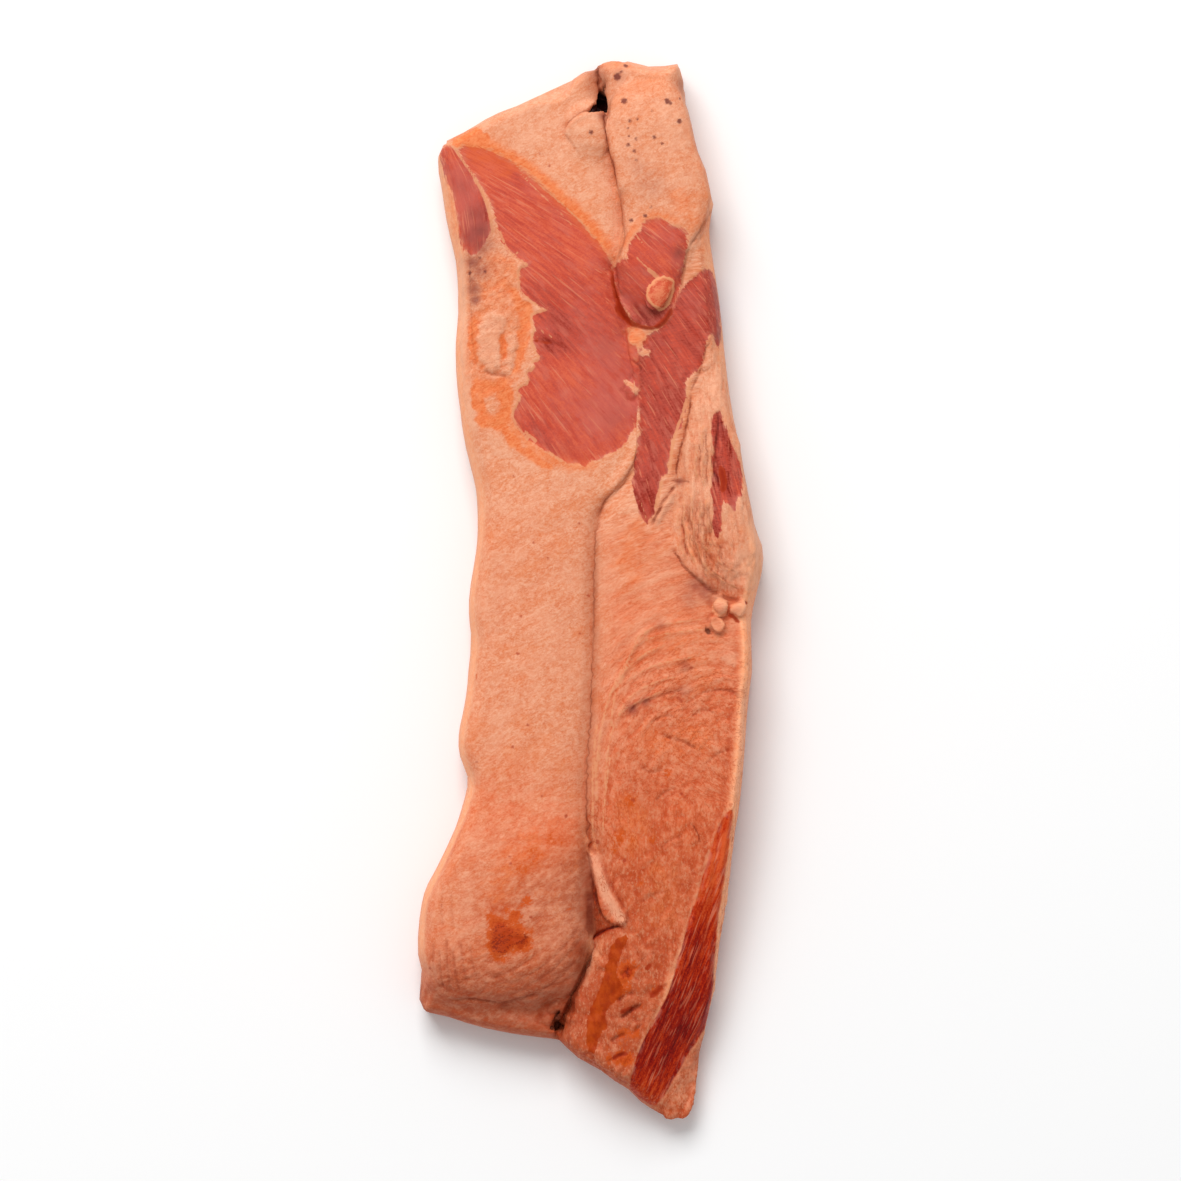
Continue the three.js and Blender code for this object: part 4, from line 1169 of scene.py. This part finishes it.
smokedMeat = newMaterial("smokedMeat")
tree = smokedMeat.node_tree
fatMap = field("fatGrain", "Vector")
leanMap = field("leanGrain", "Vector")
lumpPlaces = calc("GREATER_THAN", field("onLump"), 0.0)
grains = {0: lumpPlaces, 4: fatMap, 5: field("lumpGrain", "Vector")}
meatGrain = place("ShaderNodeMix", grains, data_type="VECTOR").outputs[1]
fatLook = place("ShaderNodeGroup", {"Grain": meatGrain, "Flow": field("flow")}, node_tree=mottle)
fleck = fatLook.outputs["Fleck"]
cloud = fatLook.outputs["Cloud"]
patchy = noise(fatMap, (0.16, 0.24, 0.24), 4.0, 0.65)
speckle = noise(fatMap, (1.1, 1.3, 1.3), 2.0, 0.6)
brokenPatch = calc("MULTIPLY_ADD", centred(speckle), 0.35, patchy)


# a kept strength whose edge is broken into blotches
def blotched(name, low, high, span):
    return fade(calc("MULTIPLY_ADD", centred(brokenPatch), span, field(name)), low, high)


# fat: orange between pale flecks, clouded, crumpled where it is rough
roughMask = field("rough")
fleckShare = calc("MULTIPLY_ADD", centred(fleck), calc("MULTIPLY_ADD", roughMask, 0.1, 1.0), 0.5)
fatColor = blend(fleckShare, tint("fat"), tint("fatPale"))
fatColor = wash(fatColor, "speckPale", 0.3, fade(speckle, 0.5, 0.7))
fatColor = wash(fatColor, "speckDeep", 0.3, fade(speckle, 0.5, 0.3))
fatColor = wash(fatColor, "cloudPale", 0.4, fade(cloud, 0.44, 0.64))
fatColor = wash(fatColor, "cloudDeep", 0.4, fade(cloud, 0.5, 0.3))
fatColor = wash(fatColor, "vein", 0.4, fatLook.outputs["Vein"])
crumpled = torn(field("crumple"), fatMap, (0.5, 0.6, 0.6), 0.5)
# painted light on the crumple's crests and painted shade in its valleys
fatColor = wash(fatColor, "crestLight", 0.35, fade(crumpled, 0.55, 1.1), roughMask)
fatColor = wash(fatColor, "valleyShade", 0.6, fade(crumpled, 0.58, 0.16), roughMask)
patchShare = calc("MULTIPLY_ADD", fade(brokenPatch, 0.34, 0.66), 0.75, 0.65)
fatColor = darkened(fatColor, "smoke", field("smoke"), patchShare)
# painted shade, browner towards the tail and round the ball
fatColor = darkened(fatColor, "paintedShade", field("paintedShade"), patchShare)
crumbs = noise(meatGrain, (0.5, 0.7, 0.65), 3.0, 0.7)
fatColor = wash(fatColor, "crumbPale", 0.5, fade(crumbs, 0.52, 0.64), roughMask)
fatColor = wash(fatColor, "crumbDeep", 0.42, fade(crumbs, 0.48, 0.36), roughMask)
# painted shade along the seam and in its valleys
fatColor = darkened(fatColor, "seam", 0.75, field("seamShade"))
# painted light on the rims of the walls
rimLightColor = blend(fleck, tint("rimLight"), tint("rimLightPale"))
fatColor = wash(fatColor, rimLightColor, 0.85, field("rimLight"))
# paler fat, and painted highlights along the raised rims
fatColor = wash(fatColor, "pale", 0.65, blotched("pale", 0.2, 1.0, 1.0))
amberColor = blend(fleck, tint("amber"), tint("amberPale"))
fatColor = wash(fatColor, amberColor, 0.85, blotched("amber", 0.15, 1.05, 1.2))
# painted shade in the hollows of the relief
hollowShade = fade(field("hollow"), 0.2, 1.1)
fatColor = darkened(fatColor, "hollow", 0.6, hollowShade)
rustNoise = noise(meatGrain, (0.14, 0.32, 0.3), 3.0, 0.65)
offLump = calc("MULTIPLY_ADD", lumpPlaces, -0.55, 1.0)
wrinkle = scaled(veins(rustNoise, 0.045), fade(patchy, 0.4, 0.58), roughMask, offLump)
fatColor = wash(fatColor, "wrinkle", 0.7, wrinkle)
fatColor = wash(fatColor, "rust", 0.6, fade(rustNoise, 0.6, 0.68), fade(roughMask, 0.4, 0.9), offLump)
scorchColor = blend(blotched("scorch", 0.6, 1.0, 1.4), tint("scorch"), tint("scorchDeep"))
flakes = fade(calc("ADD", speckle, rustNoise), 1.0, 1.14)
scorchColor = wash(scorchColor, "flake", 0.85, flakes, fade(field("scorch"), 0.6, 1.0))
fatColor = wash(fatColor, scorchColor, 0.92, blotched("scorch", 0.36, 0.64, 1.6))
bandEdge = torn(field("stain"), fatMap, (0.3, 0.6, 0.6), 4.0, 4.0)
bandColor = blend(fade(patchy, 0.35, 0.65), tint("band"), tint("bandDeep"))
fatColor = wash(fatColor, bandColor, 0.95, fade(bandEdge, -0.3, 0.3))

# lean, streaked along its fibres
warmShare = field("leanWarm")
fibreWide = noise(leanMap, (0.05, 0.28, 0.25), 3.0, 0.6)
fibreFine = noise(leanMap, (0.12, 0.8, 0.6), 2.0, 0.6)
toneStep = calc("ADD", centred(fibreWide), centred(fibreFine))
toneStep = calc("MULTIPLY_ADD", centred(speckle), 0.8, toneStep)
toneShift = calc("MULTIPLY_ADD", toneStep, scaled(field("leanStreak"), 1.5), field("leanTone"))
coolColor = ramped(toneShift, "lean", "leanDeep", {0.25: "leanRose", 0.5: "leanMid", 0.75: "leanDark"})
warmColor = ramped(toneShift, "warm", "warmDeep", {0.35: "warmMid", 0.65: "warmDark"})
leanColor = blend(warmShare, coolColor, warmColor)
# painted pink sheen on the lean
leanColor = wash(leanColor, "leanPinkSheen", 0.65, blotched("leanPinkSheen", 0.1, 1.0, 1.2))
leanHue = noise(leanMap, (0.09, 0.34, 0.3), 3.0, 0.6)
coolShare = rest(warmShare)
leanColor = wash(leanColor, "leanPale", 0.4, fade(leanHue, 0.52, 0.68), coolShare)
leanColor = wash(leanColor, "leanRed", 0.35, fade(leanHue, 0.46, 0.32), coolShare)
grooves = fade(noise(leanMap, (0.045, 0.5, 0.5), 2.0, 0.5), 0.4, 0.3)
leanColor = darkened(leanColor, "groove", 0.36, grooves)
threads = fade(noise(leanMap, (0.05, 0.8, 0.7), 1.0, 0.5), 0.61, 0.7)
threadPlaces = fade(noise(leanMap, (0.03, 0.1, 0.1)), 0.38, 0.56)
leanColor = wash(leanColor, "thread", 0.5, threads, threadPlaces)
dashes = fade(noise(leanMap, (0.11, 1.1, 0.9), 2.0, 0.6), 0.56, 0.68)
leanColor = wash(leanColor, "dash", 0.5, dashes, warmShare)
leanColor = wash(leanColor, "leanAmber", 0.7, blotched("amber", 0.2, 1.2, 1.4))
# painted shade in the lean's hollows
leanColor = darkened(leanColor, "leanHollowShade", 0.6, hollowShade)

# frayed edge between lean and fat, with a pale rim of gristle
leanReach = field("lean")
frayed = torn(leanReach, leanMap, (0.12, 0.7, 0.5), 4.4, 4.0)
frayed = torn(frayed, fatMap, (0.22, 0.22, 0.22), 2.0)
leanEdge = mixed(scaled(warmShare, 0.65), frayed, leanReach)
leanMask = fade(leanEdge, -0.4, 0.6)
fatColor = wash(fatColor, "gristle", 0.45, fade(leanEdge, -1.8, -0.5), fade(patchy, 0.42, 0.6))
leanColor = wash(leanColor, "fuzz", 0.4, fade(leanEdge, 2.6, 0.2), fade(patchy, 0.46, 0.62))
meatColor = blend(leanMask, fatColor, leanColor)

# gristle strands with painted glints and highlights, rib end, purple tint and painted shade, pits, flecks,
# wet lines, painted shade in creases and painted shadow in openings
strandAndHighlightEdge = torn(field("strandAndHighlight"), fatMap, (0.5, 0.5, 0.5), 1.6)
meatColor = wash(meatColor, "strandAndHighlight", 0.75, fade(strandAndHighlightEdge, -0.25, 0.25))
ribReach = torn(field("rib"), fatMap, (0.35, 0.35, 0.35), 2.8)
ribMarrow = blend(fade(brokenPatch, 0.4, 0.6), tint("marrow"), tint("marrowPale"))
marrowMask = fade(ribReach, ribEnd["ring"] - 0.5, ribEnd["ring"] + 0.6)
ribColor = blend(marrowMask, tint("ribRing"), ribMarrow)
meatColor = wash(meatColor, ribColor, fade(ribReach, -0.3, 0.2))
meatColor = wash(meatColor, "purpleTintAndShade", field("purpleTintAndShade"), calc("MULTIPLY_ADD", patchy, 1.2, 0.3))
pitEdge = torn(field("skinPit"), fatMap, (0.7, 0.9, 0.9), 2.0)
meatColor = wash(meatColor, "pit", 0.85, fade(pitEdge, -0.6, 0.5))
redEdge = torn(field("redFleck"), fatMap, (0.7, 0.9, 0.9), 1.2)
meatColor = wash(meatColor, "redFleck", 0.7, fade(redEdge, -0.5, 0.4))
wetEdge = torn(field("wet"), fatMap, (0.4, 0.4, 0.4), 1.6)
wetColor = blend(fade(wetEdge, 0.2, 1.4), tint("wet"), tint("wetDeep"))
meatColor = wash(meatColor, wetColor, 0.9, fade(wetEdge, -0.5, 0.4))
# painted shade round the creases, and in the crease lines below
meatColor = darkened(meatColor, "creaseShade", 0.6, field("paintedCreaseShade"))
lineGap = calc("ABSOLUTE", torn(field("creaseGap"), fatMap, (0.4, 0.4, 0.4), 1.8))
lineMask = fade(calc("DIVIDE", lineGap, field("creaseWidth")), 1.25, 0.45)
lineBreaks = calc("MULTIPLY_ADD", fade(patchy, 0.38, 0.58), 0.6, 0.4)
meatColor = darkened(meatColor, "line", lineMask, lineBreaks, field("creaseDark"))
# painted shadow inside the open hollows
holeEdge = torn(field("hole"), fatMap, (0.4, 0.4, 0.4), 1.0)
meatColor = wash(meatColor, "hole", fade(holeEdge, -0.6, 0.3), field("holeShadow"))
fatHeight = calc("MULTIPLY_ADD", wrinkle, -0.25, fatLook.outputs["Height"])
meatHeight = mixed(leanMask, fatHeight, scaled(fibreFine, 0.3))
meatGloss = calc("MULTIPLY_ADD", leanMask, -0.06, calc("MULTIPLY_ADD", fleck, 0.12, 0.48))
waxySurface(meatColor, meatGloss, meatHeight, bumpStrength=0.35, bumpDepth=0.8)

# the underside is browned rind with fine pores
smokedRind = newMaterial("smokedRind")
tree = smokedRind.node_tree
rindMap = field("fatGrain", "Vector")
rindLook = place("ShaderNodeGroup", {"Grain": rindMap, "Flow": 0.3}, node_tree=mottle)
rindFleck = rindLook.outputs["Fleck"]
rindColor = blend(fade(rindLook.outputs["Cloud"], 0.3, 0.7), tint("rind"), tint("rindPale"))
rindColor = wash(rindColor, "rindFleck", 0.4, rindFleck)
rindColor = wash(rindColor, "rindVein", 0.5, rindLook.outputs["Vein"])
poreCells = place("ShaderNodeTexVoronoi", {"Vector": stretched(rindMap, (0.12, 0.12, 0.12)), "Scale": 1.0})
pores = rest(fade(poreCells.outputs["Distance"], 0.04, 0.12))
rindColor = wash(rindColor, "pore", 0.7, pores)
rindHeight = calc("SUBTRACT", rindLook.outputs["Height"], scaled(pores, 0.2))
rindGloss = calc("MULTIPLY_ADD", rindFleck, 0.1, 0.44)
waxySurface(rindColor, rindGloss, rindHeight, bumpStrength=0.7, bumpDepth=1.0)

slab.data.materials.append(smokedMeat)
slab.data.materials.append(smokedRind)
faceNormals = np.zeros(len(slab.data.polygons) * 3, np.float32)
faceMiddles = np.zeros(len(slab.data.polygons) * 3, np.float32)
slab.data.polygons.foreach_get("normal", faceNormals)
slab.data.polygons.foreach_get("center", faceMiddles)
rindFaces = (faceNormals[2::3] < -0.4) & (faceMiddles[2::3] < slabSettings["rindLevel"] * mm)
slab.data.polygons.foreach_set("material_index", rindFaces.astype(np.int32))
bpy.ops.object.shade_smooth()
slab.data.update()
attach(slab, "root")
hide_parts("bacon_slab")
print("slab finished")

# pale floor, soft light from the head side, camera straight above
bpy.ops.object.select_all(action="DESELECT")
bpy.ops.mesh.primitive_plane_add(size=6.0)
floor = bpy.context.active_object
floor.name = "floor"
paleFloor = bpy.data.materials.new("paleFloor")
paleFloor.use_nodes = True
floorSurface = paleFloor.node_tree.nodes["Principled BSDF"]
floorSurface.inputs["Base Color"].default_value = (0.95, 0.95, 0.95, 1.0)
floorSurface.inputs["Roughness"].default_value = 0.9
floor.data.materials.append(paleFloor)

world = bpy.data.worlds.new("softSky")
bpy.context.scene.world = world
world.use_nodes = True
world.node_tree.nodes["Background"].inputs["Color"].default_value = (1.0, 1.0, 1.0, 1.0)
world.node_tree.nodes["Background"].inputs["Strength"].default_value = studio["sky"]
bpy.ops.object.light_add(type="AREA", location=studio["keyPlace"])
key = bpy.context.active_object
key.name = "keyLight"
key.data.size = studio["keySize"]
key.data.energy = studio["key"]
keyX, keyY, keyZ = studio["keyPlace"]
key.rotation_euler = (math.atan2(math.hypot(keyX, keyY), keyZ), 0.0, math.atan2(keyX, -keyY))

bpy.ops.object.camera_add(location=(0.0, 0.0, studio["cameraHeight"]), rotation=(0.0, 0.0, 0.0))
camera = bpy.context.active_object
camera.data.sensor_width = studio["sensor"]
camera.data.lens = studio["sensor"] * (studio["cameraHeight"] - studio["aimLevel"]) / studio["frameWidth"]
bpy.context.scene.camera = camera
bpy.context.scene.view_settings.view_transform = "Standard"
print("studio set")
